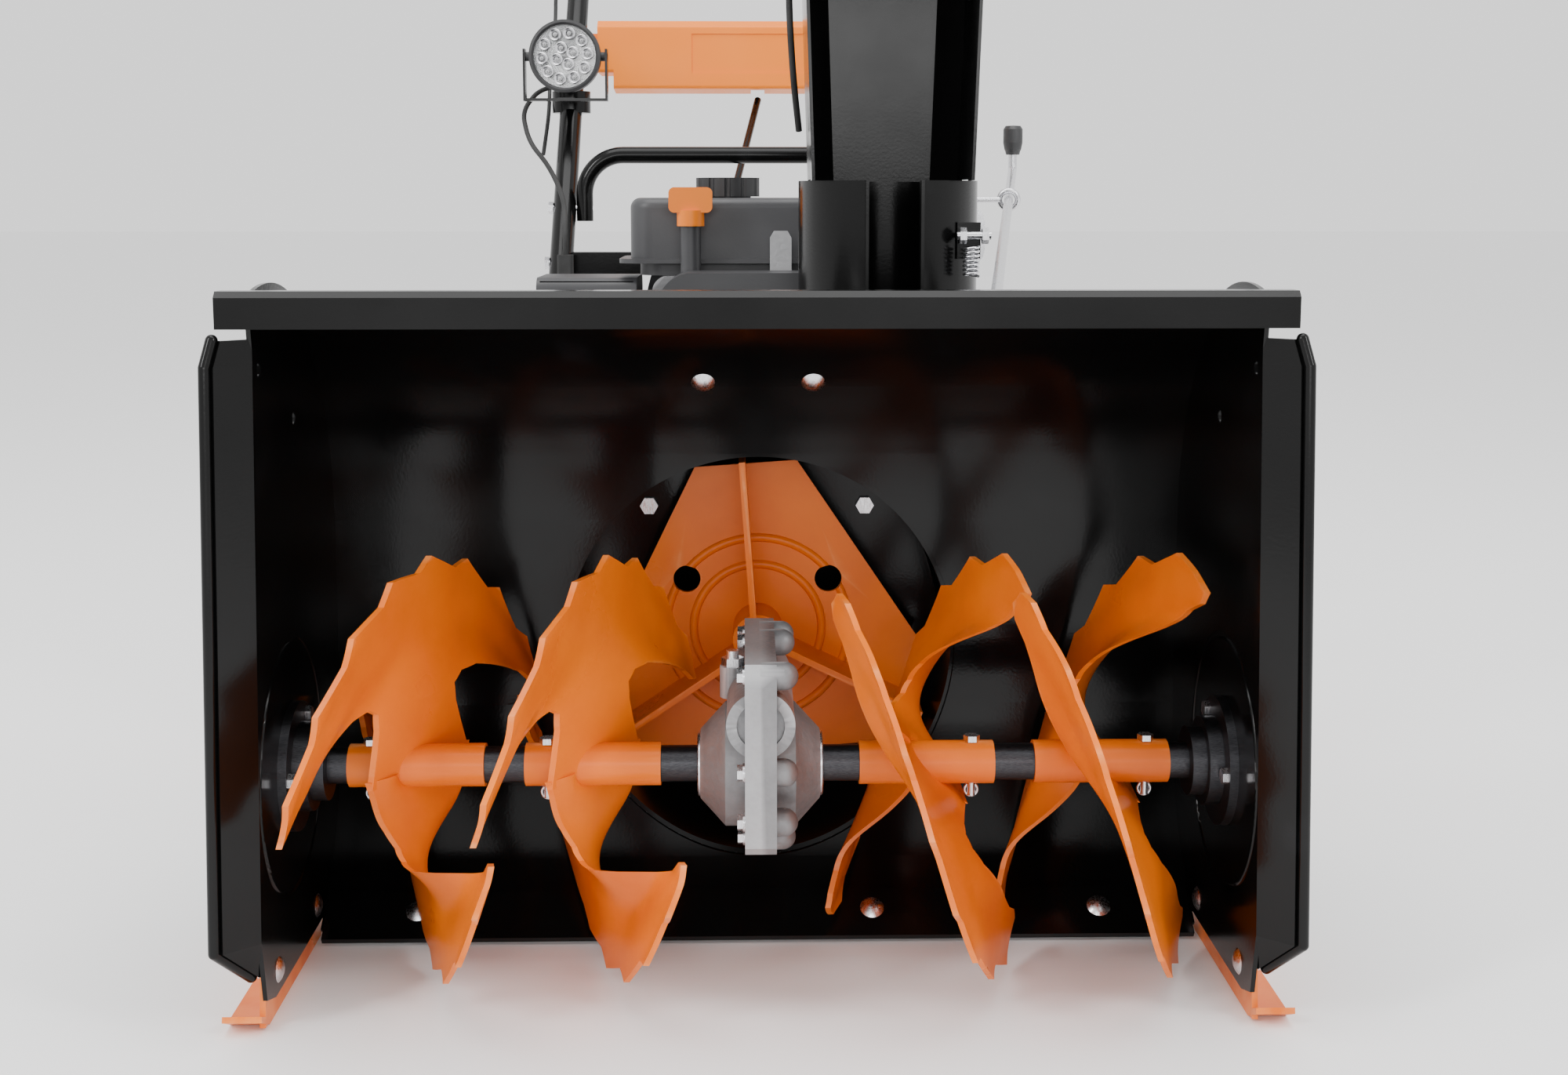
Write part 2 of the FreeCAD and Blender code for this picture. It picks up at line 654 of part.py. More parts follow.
def gearbox_half(side):
    """One half of the auger gearbox, split at x = 0. The right one has the blind bolt bosses."""
    d, z = AUGER_AXIS_DEPTH, AUGER_AXIS_Z
    case = fuse([rod_x(0.0, 24.0, d, z, 43.0),
                 Part.makeCone(43.0, 24.0, CASE_HALF - 24.0, V(24.0, yd(d), z), V(1, 0, 0))])
    worm = rod_y(0.0, d - WORM_FRONT, d + WORM_REAR, IMPELLER_AXIS_Z, 23.0)
    recess = rod_y(0.0, d - WORM_FRONT - 1.0, d - WORM_FRONT + 2.0, IMPELLER_AXIS_Z, 16.0)
    shapes = [case, worm.cut(recess), gearbox_flange(FLANGE_HALF)]
    for bolt_d, bolt_z in gearbox_bolt_places():
        if side > 0:
            shapes.append(rod_x(0.0, BOSS_END, bolt_d, bolt_z, BOSS_RADIUS))
            shapes.append(Part.makeSphere(BOSS_RADIUS, V(BOSS_END, yd(bolt_d), bolt_z)))
    if side < 0:
        shapes.append(rod_z(-PLUG_X, PLUG_DEPTH, IMPELLER_AXIS_Z, PLUG_SEAT_Z, 9.0))
    body = fuse(shapes)
    body = body.cut(box(-60.0, 0.0, d - 120.0, d + 120.0, z - 100.0, z + 120.0))
    cavity = rod_x(0.0, WHEEL_HALF_WIDTH + 3.0, d, z, WHEEL_TIP_RADIUS + 2.0)
    bore = rod_y(0.0, d - WORM_FRONT + 6.0, d + WORM_REAR - 12.0, IMPELLER_AXIS_Z, 12.5)
    seat = rod_y(0.0, d + 20.0, d + WORM_REAR + 1.0, IMPELLER_AXIS_Z,
                 IMPELLER_SHAFT_RADIUS + RUNNING_GAP)
    shaft = rod_x(-1.0, CASE_HALF + 1.0, d, z, AUGER_SHAFT_RADIUS + RUNNING_GAP)
    for tool in (cavity, bore, seat, shaft):
        body = body.cut(tool)
    for bolt_d, bolt_z in gearbox_bolt_places():
        body = body.cut(rod_x(-1.0, BOLT_END + 0.5, bolt_d, bolt_z, 3.0 + BOLT_GAP))
    if side < 0:
        body = body.cut(rod_z(-PLUG_X, PLUG_DEPTH, PLUG_SEAT_Z - 9.0, PLUG_SEAT_Z + 1.0, 4.0 + BOLT_GAP))
        body = mirrored(body)
    return body


def gearbox_bolts():
    """Bolts through the left flange into the blind bosses of the right half."""
    bolts = []
    for d, z in gearbox_bolt_places():
        washer = rod_x(-FLANGE_HALF - 1.5, -FLANGE_HALF, d, z, 6.4)
        head = bolt(-FLANGE_HALF - 1.0, yd(d), z, (-1, 0, 0), 3.0, FLANGE_HALF + 1.0 + BOLT_END)
        bolts.append(fuse([washer, head]))
    return bolts


def gearbox_plug():
    """Breather plug on a boss of the left half."""
    head = hex_prism(PLUG_X, yd(PLUG_DEPTH), PLUG_SEAT_Z, (0, 0, 1), 14.0, 6.0)
    stem = rod_z(PLUG_X, PLUG_DEPTH, PLUG_SEAT_Z - 8.0, PLUG_SEAT_Z, 4.0)
    cap = rod_z(PLUG_X, PLUG_DEPTH, PLUG_SEAT_Z, PLUG_SEAT_Z + 11.0, 4.5)
    return fuse([head, stem, cap])


def auger_shaft():
    end = PLATE_INNER_X - 4.0
    shaft = rod_x(-end, end, AUGER_AXIS_DEPTH, AUGER_AXIS_Z, AUGER_SHAFT_RADIUS)
    for x in SHEAR_PIN_X:
        for side in (-1.0, 1.0):
            shaft = shaft.cut(shear_hole(side * x))
    return shaft


def shear_hole(x):
    return rod_z(x, AUGER_AXIS_DEPTH, AUGER_AXIS_Z - 30.0, AUGER_AXIS_Z + 30.0, 3.0 + 0.2)


def shear_pins():
    """Soft bolts that lock each auger to the shaft, with a clip through the lower end."""
    pins = []
    top = AUGER_AXIS_Z + AUGER_TUBE_RADIUS
    low = AUGER_AXIS_Z - AUGER_TUBE_RADIUS
    for x in SHEAR_PIN_X:
        for side in (-1.0, 1.0):
            pin = bolt(side * x, yd(AUGER_AXIS_DEPTH), top, (0, 0, 1), 3.0, 2 * AUGER_TUBE_RADIUS + 9.0)
            clip = Part.makeTorus(4.5, 1.0, V(side * x, yd(AUGER_AXIS_DEPTH), low - 5.0), V(0, 1, 0))
            pins.append(fuse([pin, clip]))
    return pins


def blade_surface(centre_x, mid_angle, twist):
    """Sheet of one blade: a flat tilted web by the tube that winds into the helix at the rim."""
    rows = []
    for i in range(17):
        beta = -96.0 + 12.0 * i
        a = math.radians(mid_angle + beta)
        row = []
        for k in range(12):
            radius = 2.0 + 14.0 * k
            share = min(max((radius - 38.0) / 64.0, 0.0), 1.0)
            wound = share * share * (3.0 - 2.0 * share)
            web = twist * WEB_SLOPE * radius * math.sin(math.radians(beta))
            helix = AUGER_PITCH * beta / 360.0
            x = centre_x + (1.0 - wound) * web + wound * helix
            row.append(V(x, yd(AUGER_AXIS_DEPTH) - radius * math.cos(a),
                         AUGER_AXIS_Z + radius * math.sin(a)))
        rows.append(row)
    surface = Part.BSplineSurface()
    surface.interpolate(rows)
    return surface.toShape()


def blade_outline():
    """Anchor outline of a blade as (angle from the arm, radius): open hub, hook, toothed rim."""
    hook = [(95.0, 33.0), (52.0, 36.0), (34.0, 46.0), (27.0, 57.0), (30.0, 66.0), (40.0, 73.0),
            (55.0, 81.0), (69.0, 95.0), (78.0, 109.0), (85.0, 118.0), (87.0, 128.0)]
    rim = []
    step = 2.0 * BLADE_SPREAD / TEETH
    for k in range(TEETH):
        start = BLADE_SPREAD - k * step
        rim.append((start - 0.08 * step, AUGER_RADIUS - TOOTH_DEPTH * 0.6))
        rim.append((start - 0.42 * step, AUGER_RADIUS))
        rim.append((start - 0.72 * step, AUGER_RADIUS - TOOTH_DEPTH))
    mirror_hook = [(-angle, radius) for angle, radius in hook]
    return hook + rim + mirror_hook[::-1]


def blade_prism(x0, x1, mid_angle):
    """Prism along the shaft with the anchor outline of one blade."""
    corners = []
    for angle, radius in blade_outline():
        a = math.radians(mid_angle + angle)
        corners.append(V(x0, yd(AUGER_AXIS_DEPTH) - radius * math.cos(a),
                         AUGER_AXIS_Z + radius * math.sin(a)))
    return Part.Face(polygon(corners)).extrude(V(x1 - x0, 0, 0))


def auger_blade(centre_x, mid_angle, twist):
    """One stamped blade of constant thickness along the shaft."""
    sheet = blade_surface(centre_x, mid_angle, twist).extrude(V(AUGER_SHEET, 0, 0))
    sheet.translate(V(-AUGER_SHEET / 2.0, 0, 0))
    return sheet.common(blade_prism(centre_x - 90.0, centre_x + 90.0, mid_angle))


def auger_section(side, centre_x, first_angle):
    """Tube with two blades half a turn apart; the helix is mirrored on the right side."""
    x = centre_x
    d, z = AUGER_AXIS_DEPTH, AUGER_AXIS_Z
    parts = [rod_x(-x - TUBE_LENGTH / 2.0, -x + TUBE_LENGTH / 2.0, d, z, AUGER_TUBE_RADIUS)]
    parts.append(auger_blade(-x, first_angle, 1.0))
    parts.append(auger_blade(-x, first_angle + 180.0, -1.0))
    section = fuse(parts)
    section = section.cut(rod_x(-x - 80.0, -x + 80.0, d, z, AUGER_SHAFT_RADIUS + RUNNING_GAP))
    section = section.cut(shear_hole(-x - 32.0))
    head_room = rod_z(-x - 32.0, d, z + AUGER_TUBE_RADIUS, z + AUGER_TUBE_RADIUS + 9.0, 6.5)
    section = section.cut(head_room)
    tail_room = rod_z(-x - 32.0, d, z - AUGER_TUBE_RADIUS - 12.0, z - AUGER_TUBE_RADIUS, 6.5)
    section = section.cut(tail_room)
    return mirrored(section) if side > 0 else section


def worm_wheel():
    """Bronze gear keyed on the auger shaft inside the gearbox."""
    d, z = AUGER_AXIS_DEPTH, AUGER_AXIS_Z
    teeth = 30
    points = []
    for k in range(teeth):
        for part_angle, radius in ((0.0, 31.0), (0.3, 31.0), (0.45, WHEEL_TIP_RADIUS),
                                   (0.75, WHEEL_TIP_RADIUS), (0.9, 31.0)):
            points.append(polar(d, z, radius, (k + part_angle) * 360.0 / teeth))
    wheel = slab_x(points, -WHEEL_HALF_WIDTH, WHEEL_HALF_WIDTH)
    return wheel.cut(rod_x(-20.0, 20.0, d, z, AUGER_SHAFT_RADIUS + 0.02))


def impeller_shaft():
    """Shaft from the worm in the gearbox to the pulley behind the drum."""
    z = IMPELLER_AXIS_Z
    front = AUGER_AXIS_DEPTH - WORM_FRONT + 8.0
    parts = [rod_y(0.0, AUGER_AXIS_DEPTH + 24.0, PULLEY_DEPTH + 12.0, z, IMPELLER_SHAFT_RADIUS),
             rod_y(0.0, front, AUGER_AXIS_DEPTH + 26.0, z, 8.0)]
    for k in range(8):
        thread_d = AUGER_AXIS_DEPTH - 24.0 + 6.0 * k
        parts.append(rod_y(0.0, thread_d, thread_d + 3.0, z, WORM_TIP_RADIUS))
    parts.append(pulley(0.0, PULLEY_DEPTH, z, IMPELLER_PULLEY_RADIUS, 18.0, 5.0))
    return fuse(parts)


def impeller_fan():
    """Three cornered stamped plate with a hub, pressed rings and three throwing paddles."""
    z = IMPELLER_AXIS_Z
    d = IMPELLER_PLANE_DEPTH
    r = IMPELLER_RADIUS - 2.0
    corners = []
    for k in range(3):
        for offset in (-17.0, 17.0):
            a = math.radians(90.0 + IMPELLER_TURN + 120.0 * k + offset)
            corners.append((r * math.cos(a), z + r * math.sin(a)))
    plate = slab_y(corners, d, d + 4.0)
    parts = [plate, rod_y(0.0, d - 46.0, d + 20.0, z, IMPELLER_HUB_RADIUS)]
    for ring_radius in (52.0, 74.0):
        ring = Part.makeTorus(ring_radius, 3.5, V(0, yd(d + 0.5), z), V(0, 1, 0))
        parts.append(ring)
    for k in range(3):
        a = math.radians(90.0 + IMPELLER_TURN + 120.0 * k)
        paddle = Part.makeBox(IMPELLER_RADIUS - 17.0, 5.0, 52.0, V(17.0, 0.0, 0.0))
        tip_cut = Part.makeBox(60.0, 20.0, 60.0, V(0.0, -5.0, 0.0))
        tip_cut.rotate(V(0, 0, 0), V(0, 1, 0), -35.0)
        tip_cut.translate(V(IMPELLER_RADIUS - 30.0, 0.0, 52.0))
        paddle = paddle.cut(tip_cut)
        paddle.rotate(V(0, 0, 0), V(1, 0, 0), 90.0)
        paddle.rotate(V(0, 0, 0), V(0, 1, 0), -math.degrees(a))
        paddle.translate(V(0, yd(d), z))
        parts.append(paddle)
    fan = fuse(parts)
    fan = fan.cut(rod_y(0.0, d - 60.0, d + 40.0, z, IMPELLER_SHAFT_RADIUS + 0.02))
    for angle in (35.0, 145.0):
        a = math.radians(angle)
        fan = fan.cut(rod_y(70.0 * math.cos(a), d - 10.0, d + 20.0, z + 70.0 * math.sin(a), 11.0))
    limit = rod_y(0.0, d - 80.0, d + 60.0, z, IMPELLER_RADIUS)
    return fan.common(limit)


def pulley(x, d, z, radius, width, bore):
    """Grooved belt pulley on an axis along the machine."""
    half = width / 2.0
    profile = [(bore, -half), (radius, -half), (radius - 9.0, -4.5), (radius - 9.0, 4.5),
               (radius, half), (bore, half)]
    points = [V(x + r, yd(d) + along_y, z) for r, along_y in profile]
    return Part.Face(polygon(points)).revolve(V(x, yd(d), z), V(0, 1, 0), 360.0)


# ---------------------------------------------------------------- tractor frame and drive


def chassis():
    """Folded sheet tractor frame, open below, with a partition behind the belts."""
    half = CHASSIS_HALF_WIDTH
    top, low = CHASSIS_TOP_Z, CHASSIS_BOTTOM_Z
    frame = rounded_box(-half, half, CHASSIS_FRONT, CHASSIS_REAR, low, top, 10.0, 2)
    frame = frame.cut(box(-half + SHEET, half - SHEET, CHASSIS_FRONT + SHEET,
                          CHASSIS_REAR - SHEET, low - 1.0, top - SHEET))
    frame = fuse([frame, box(-half + 1.0, half - 1.0, PARTITION_DEPTH, PARTITION_DEPTH + SHEET,
                             low, top - 1.0)])
    belt_slot = box(-62.0, 62.0, CHASSIS_FRONT + 22.0, PARTITION_DEPTH - 4.0, top - 10.0, top + 5.0)
    frame = frame.cut(belt_slot)
    frame = frame.cut(rod_y(0.0, 400.0, 430.0, IMPELLER_AXIS_Z, 20.0))
    frame = frame.cut(rod_y(0.0, 480.0, 500.0, DISC_AXIS_Z, 9.0 + RUNNING_GAP))
    frame = frame.cut(rod_x(-half - 5.0, half + 5.0, AXLE_DEPTH, WHEEL_RADIUS, 14.0))
    frame = frame.cut(rod_x(-half - 5.0, half + 5.0, HEX_SHAFT_DEPTH, DISC_AXIS_Z, 8.0 + RUNNING_GAP))
    for x, z in drum_bolt_places():
        frame = frame.cut(rod_y(x, 400.0, 430.0, z, 4.0 + BOLT_GAP))
    for x, z in bracket_bolt_places():
        frame = frame.cut(rod_y(x, CHASSIS_REAR - 10.0, CHASSIS_REAR + 10.0, z, 4.0 + BOLT_GAP))
    return frame


def bracket_bolt_places():
    return [(side * 94.0, z) for z in (260.0, 300.0) for side in (-1.0, 1.0)]


def drum_bolt_places():
    places = []
    for k in range(4):
        a = math.radians(45.0 + 90.0 * k)
        places.append((128.0 * math.cos(a), IMPELLER_AXIS_Z + 128.0 * math.sin(a)))
    return places


def drum_bolts():
    """Bolts that clamp the drum's rear plate to the front of the tractor frame."""
    bolts = []
    for x, z in drum_bolt_places():
        face = DRUM_END_DEPTH - 4.0
        head = bolt(x, yd(face), z, (0, -1, 0), 4.0, 14.0)
        nut = hex_prism(x, yd(DRUM_END_DEPTH + SHEET), z, (0, 1, 0), 13.0, 6.0)
        bolts.append(fuse([head, nut]))
    return bolts


def impeller_bearing():
    d, z = CHASSIS_FRONT + SHEET, IMPELLER_AXIS_Z
    body = fuse([rod_y(0.0, d, d + 4.0, z, 34.0), rod_y(0.0, d + 3.0, d + 10.0, z, 20.0)])
    return body.cut(rod_y(0.0, d - 5.0, d + 20.0, z, IMPELLER_SHAFT_RADIUS + RUNNING_GAP))


def axle_bushes():
    """Flanged bushes that carry the wheel axle in the frame's side walls."""
    bushes = []
    for side in (-1.0, 1.0):
        x = side * CHASSIS_HALF_WIDTH
        sleeve = rod_x(x - side * 8.0, x + side * 2.0, AXLE_DEPTH, WHEEL_RADIUS, 14.0)
        flange = rod_x(x, x + side * 4.0, AXLE_DEPTH, WHEEL_RADIUS, 22.0)
        bush = fuse([sleeve, flange])
        bushes.append(bush.cut(rod_x(x - 20.0, x + 20.0, AXLE_DEPTH, WHEEL_RADIUS,
                                     AXLE_RADIUS + RUNNING_GAP)))
    return bushes


def belt_loop(d, low_z, low_radius, high_z, high_radius):
    """Endless belt round two pulleys, one above the other."""
    def hull(extra):
        r0, r1 = low_radius + extra, high_radius + extra
        lean = math.asin((r0 - r1) / (high_z - low_z))
        a = V(r0 * math.cos(lean), yd(d - 4.0), low_z + r0 * math.sin(lean))
        b = V(r1 * math.cos(lean), yd(d - 4.0), high_z + r1 * math.sin(lean))
        a2, b2 = V(-a.x, a.y, a.z), V(-b.x, b.y, b.z)
        edges = [line(a, b), arc(b, V(0, a.y, high_z + r1), b2), line(b2, a2),
                 arc(a2, V(0, a.y, low_z - r0), a)]
        return Part.Face(wire(edges)).extrude(V(0, 8.0, 0))
    return hull(-1.0).cut(hull(-8.5))


def drive_disc():
    """Drive plate on its shaft, with the hub that the traction pulley fits on."""
    z = DISC_AXIS_Z
    disc = rod_y(0.0, DISC_FACE_DEPTH - 6.0, DISC_FACE_DEPTH, z, DISC_RADIUS)
    return fuse([disc, rod_y(0.0, DISC_FACE_DEPTH - 26.0, DISC_FACE_DEPTH - 5.0, z, 22.0),
                 rod_y(0.0, DRIVE_PULLEY_DEPTH - 9.0, DISC_FACE_DEPTH - 20.0, z, 9.0),
                 pulley(0.0, DRIVE_PULLEY_DEPTH, z, DRIVE_PULLEY_RADIUS, 18.0, 5.0)])


def friction_wheel():
    """Rubber edged wheel pressed on the cross shaft, driven by the plate's face."""
    d, z = HEX_SHAFT_DEPTH, DISC_AXIS_Z
    wheel = fuse([rod_x(24.0, 36.0, d, z, FRICTION_RADIUS), rod_x(14.0, 46.0, d, z, 20.0)])
    return wheel.cut(rod_x(0.0, 60.0, d, z, 8.0 + 0.02))


def toothed_wheel(x, d, z, radius, width, teeth, bore):
    points = []
    for k in range(teeth):
        for part_angle, r in ((0.0, radius - 4.0), (0.25, radius - 4.0), (0.4, radius), (0.85, radius)):
            points.append(polar(d, z, r, (k + part_angle) * 360.0 / teeth))
    gear = slab_x(points, x - width / 2.0, x + width / 2.0)
    return gear.cut(rod_x(x - width, x + width, d, z, bore))


def cross_shaft():
    """Cross shaft between the friction wheel and the axle gear, with its pinion."""
    d, z = HEX_SHAFT_DEPTH, DISC_AXIS_Z
    end = CHASSIS_HALF_WIDTH + 4.0
    shaft = rod_x(-end, end, d, z, 8.0)
    pinion = toothed_wheel(GEAR_X, d, z, PINION_RADIUS, 14.0, 10, 7.0)
    return fuse([shaft, pinion])


def axle_gear():
    gear = toothed_wheel(GEAR_X, AXLE_DEPTH, WHEEL_RADIUS, AXLE_GEAR_RADIUS, 12.0, 36, 6.0)
    for k in range(5):
        d, z = polar(AXLE_DEPTH, WHEEL_RADIUS, 34.0, 72.0 * k)
        gear = gear.cut(rod_x(GEAR_X - 10.0, GEAR_X + 10.0, d, z, 11.0))
    return gear


def wheel_axle():
    end = WHEEL_X + 34.0
    shaft = rod_x(-end, end, AXLE_DEPTH, WHEEL_RADIUS, AXLE_RADIUS)
    return fuse([shaft, axle_gear()])


def rim():
    """Right wheel rim: a dished disc with a barrel for the tyre and a hub tube on the axle."""
    d, z = AXLE_DEPTH, WHEEL_RADIUS
    half = WHEEL_WIDTH / 2.0
    r = RIM_RADIUS
    profile = [(-half + 8.0, r), (-half + 8.0, r + 8.0), (-half + 11.0, r + 8.0), (-half + 12.0, r),
               (-30.0, r), (-22.0, r - 9.0), (22.0, r - 9.0), (30.0, r), (half - 12.0, r),
               (half - 11.0, r + 8.0), (half - 8.0, r + 8.0), (half - 8.0, r), (half - 11.0, r - 3.5),
               (32.0, r - 3.5), (24.0, r - 12.5), (14.0, r - 12.5), (6.0, 62.0), (14.0, 40.0),
               (20.0, 22.0), (30.0, 20.0), (30.0, AXLE_RADIUS + 0.05), (-40.0, AXLE_RADIUS + 0.05),
               (-40.0, 20.0), (8.0, 20.0), (10.0, 40.0), (2.0, 62.0), (10.0, r - 12.5),
               (-24.0, r - 12.5), (-32.0, r - 3.5), (-half + 11.0, r - 3.5)]
    points = [V(WHEEL_X + dx, yd(d), z + radius) for dx, radius in profile]
    body = Part.Face(polygon(points)).revolve(V(0, yd(d), z), V(1, 0, 0), 360.0)
    for k in range(6):
        hole_d, hole_z = polar(d, z, 76.0, 60.0 * k)
        body = body.cut(rod_x(WHEEL_X - 20.0, WHEEL_X + 25.0, hole_d, hole_z, 9.0))
    return body


def tyre():
    """Right tyre with a rounded section and alternating snow lugs."""
    d, z = AXLE_DEPTH, WHEEL_RADIUS
    half = WHEEL_WIDTH / 2.0
    tread = WHEEL_RADIUS - 11.0

    def at(dx, radius):
        return V(WHEEL_X + dx, yd(d), z + radius)

    r = RIM_RADIUS
    outer = [arc(at(-half + 12.2, r + 0.3), at(-half, r + 42.0), at(-half + 10.0, tread - 6.0)),
             arc(at(-half + 10.0, tread - 6.0), at(0.0, tread), at(half - 10.0, tread - 6.0)),
             arc(at(half - 10.0, tread - 6.0), at(half, r + 42.0), at(half - 12.2, r + 0.3))]
    inner = [line(at(half - 12.2, r + 0.3), at(half - 20.0, r + 0.3)),
             arc(at(half - 20.0, r + 0.3), at(half - 10.0, r + 40.0), at(half - 20.0, tread - 14.0)),
             line(at(half - 20.0, tread - 14.0), at(-half + 20.0, tread - 14.0)),
             arc(at(-half + 20.0, tread - 14.0), at(-half + 10.0, r + 40.0), at(-half + 20.0, r + 0.3)),
             line(at(-half + 20.0, r + 0.3), at(-half + 12.2, r + 0.3))]
    carcass = Part.Face(wire(outer + inner)).revolve(V(0, yd(d), z), V(1, 0, 0), 360.0)
    lugs = []
    count = 20
    for k in range(count):
        for side in (-1.0, 1.0):
            lug = Part.makeBox(half - 4.0, 17.0, 16.0, V(0.0, -8.5, tread - 8.0))
            lug.rotate(V(0, 0, tread), V(0, 0, 1), 24.0)
            if side < 0:
                lug = mirrored(lug)
            lug.rotate(V(0, 0, 0), V(1, 0, 0), (k + (0.25 if side < 0 else -0.25)) * 360.0 / count)
            lug.translate(V(WHEEL_X, yd(d), z))
            lugs.append(lug)
    band = rod_x(WHEEL_X - half + 4.0, WHEEL_X + half - 4.0, d, z, WHEEL_RADIUS - 0.01)
    pattern = fuse([carcass] + lugs).common(band.fuse(carcass))
    return pattern.cut(rim())


# ---------------------------------------------------------------- engine


def engine_block():
    """Crankcase with its finned, leaning cylinder and rocker cover on the right."""
    z = CHASSIS_TOP_Z
    case = rounded_box(-92.0, 78.0, ENGINE_FRONT, 640.0, z, ENGINE_TOP_Z, 14.0, 1)
    foot = box(-105.0, 95.0, ENGINE_FRONT + 10.0, 630.0, z, z + 12.0)
    boss = rod_y(0.0, ENGINE_FRONT - 12.0, ENGINE_FRONT + 5.0, ENGINE_AXIS_Z, 34.0)
    cylinder = [rounded_box(70.0, 150.0, 545.0, 625.0, 398.0, 470.0, 8.0, 0)]
    for k in range(9):
        x = 84.0 + 7.5 * k
        cylinder.append(box(x, x + 2.5, 538.0, 632.0, 390.0, 476.0))
    cover = rounded_box(149.0, 178.0, 548.0, 622.0, 402.0, 466.0, 10.0, 0)
    block = fuse([case, foot, boss] + cylinder + [cover])
    block = block.cut(rod_y(0.0, 480.0, 700.0, ENGINE_AXIS_Z, CRANKSHAFT_RADIUS + RUNNING_GAP))
    return block.cut(pipe(oil_tube_points(), 30.0, 9.0))


def oil_tube_points():
    return [(OIL_TUBE_X, yd(ENGINE_FRONT), 372.0), (OIL_TUBE_X, yd(OIL_TUBE_DEPTH), 392.0),
            (OIL_TUBE_X, yd(OIL_TUBE_DEPTH), OIL_CAP_Z)]


def oil_filler_tube():
    """Tube from the crankcase face up to the oil cap."""
    return pipe(oil_tube_points(), 30.0, 9.0, 6.5)


def oil_cap():
    """Capped dipstick: a square-shouldered grip on a round plug."""
    x, d = OIL_TUBE_X, OIL_TUBE_DEPTH
    grip = rounded_box(x - 19.0, x + 19.0, d - 8.0, d + 8.0, OIL_CAP_Z + 12.0, OIL_CAP_Z + 34.0, 5.0, 1)
    skirt = rod_z(x, d, OIL_CAP_Z + 0.3, OIL_CAP_Z + 14.0, 12.0)
    return fuse([grip, skirt, rod_z(x, d, OIL_CAP_Z - 60.0, OIL_CAP_Z + 2.0, 3.0)])


def crankshaft():
    z = ENGINE_AXIS_Z
    shaft = rod_y(0.0, PULLEY_DEPTH - 10.0, 668.0, z, CRANKSHAFT_RADIUS)
    pulleys = [pulley(0.0, PULLEY_DEPTH, z, ENGINE_PULLEY_RADIUS, 18.0, 5.0),
               pulley(0.0, DRIVE_PULLEY_DEPTH, z, ENGINE_PULLEY_RADIUS, 18.0, 5.0)]
    return fuse([shaft, rod_y(0.0, 654.0, 676.0, z, 92.0)] + pulleys)


def recoil_cover():
    """Blower housing behind the flywheel with the round starter cover and its vents."""
    z = ENGINE_AXIS_Z
    shell = fuse([rod_y(0.0, 640.5, 716.0, z, 104.0),
                  rounded_box(-104.0, 104.0, 640.5, 716.0, CHASSIS_TOP_Z + 2.0, z, 8.0, 1)])
    shell = fuse([shell, rod_y(0.0, 714.0, 742.0, z, 78.0)])
    hollow = fuse([rod_y(0.0, 643.5, 713.0, z, 99.0), rod_y(0.0, 700.0, 738.0, z, 73.0)])
    shell = shell.cut(hollow)
    shell = shell.cut(rod_y(0.0, 630.0, 650.0, z, 14.0))
    for ring_radius in (28.0, 44.0, 60.0):
        count = int(ring_radius / 4.0)
        for k in range(count):
            a = 2.0 * math.pi * k / count
            x, vent_z = ring_radius * math.cos(a), z + ring_radius * math.sin(a)
            shell = shell.cut(rod_y(x, 730.0, 750.0, vent_z, 4.5))
    return shell.cut(rod_y(STARTER_X, 690.0, 750.0, STARTER_Z, 3.5))


def starter_grip():
    """Moulded T grip with the start of the starter rope behind it."""
    x, z = STARTER_X, STARTER_Z
    bar = rounded_box(x - 32.0, x + 32.0, 752.0, 768.0, z - 9.0, z + 9.0, 6.0, 0)
    return fuse([bar, rod_y(x, 743.0, 754.0, z, 8.0), rod_y(x, 690.0, 745.0, z, 2.5)])


def fuel_tank():
    """Two pressed halves joined at a flange, domed on top, with a filler neck."""
    z0, z1 = TANK_FLANGE_Z, TANK_TOP_Z
    upper = rounded_box(-112.0, 118.0, 528.0, 633.0, z0, z1, 20.0, 2)
    upper = round_edges(upper, 9.0, lambda e: e.BoundBox.ZMin > z1 - 0.01)
    flange = rounded_box(-122.0, 127.0, 522.0, 639.5, z0 - 2.0, z0 + 2.0, 20.0, 2)
    lower = rounded_box(-104.0, 110.0, 535.0, 626.0, ENGINE_TOP_Z, z0, 20.0, 2)
    neck = rod_z(FUEL_CAP_X, FUEL_CAP_DEPTH, z1 - 2.0, z1 + 6.0, 21.0)
    tank = fuse([upper, flange, lower, neck])
    hollow = rounded_box(-106.0, 112.0, 534.0, 627.0, z0, z1 - 3.0, 16.0, 2)
    tank = tank.cut(hollow)
    tank = tank.cut(rod_z(FUEL_CAP_X, FUEL_CAP_DEPTH, z1 - 20.0, z1 + 20.0, 18.0))
    return tank


def fuel_cap():
    x, d, z = FUEL_CAP_X, FUEL_CAP_DEPTH, TANK_TOP_Z
    cap = rod_z(x, d, z + 1.0, z + 18.0, 29.0)
    cap = cap.cut(rod_z(x, d, z - 1.0, z + 6.5, 21.4))
    for k in range(12):
        a = math.radians(30.0 * k)
        notch = rod_z(x + 30.0 * math.cos(a), d + 30.0 * math.sin(a), z, z + 20.0, 3.0)
        cap = cap.cut(notch)
    return fuse([cap, rod_z(x, d, z - 8.0, z + 8.0, 17.5)])


def muffler():
    z = 484.0
    can = rounded_box(129.0, 205.0, 532.0, 652.0, z, z + 58.0, 18.0, 1)
    pipe_out = rod_y(180.0, 520.0, 534.0, z + 30.0, 9.0)
    neck = rod_z(140.0, 585.0, 465.0, z + 1.0, 9.0)
    return fuse([can, pipe_out]).fuse(neck.cut(engine_block()))


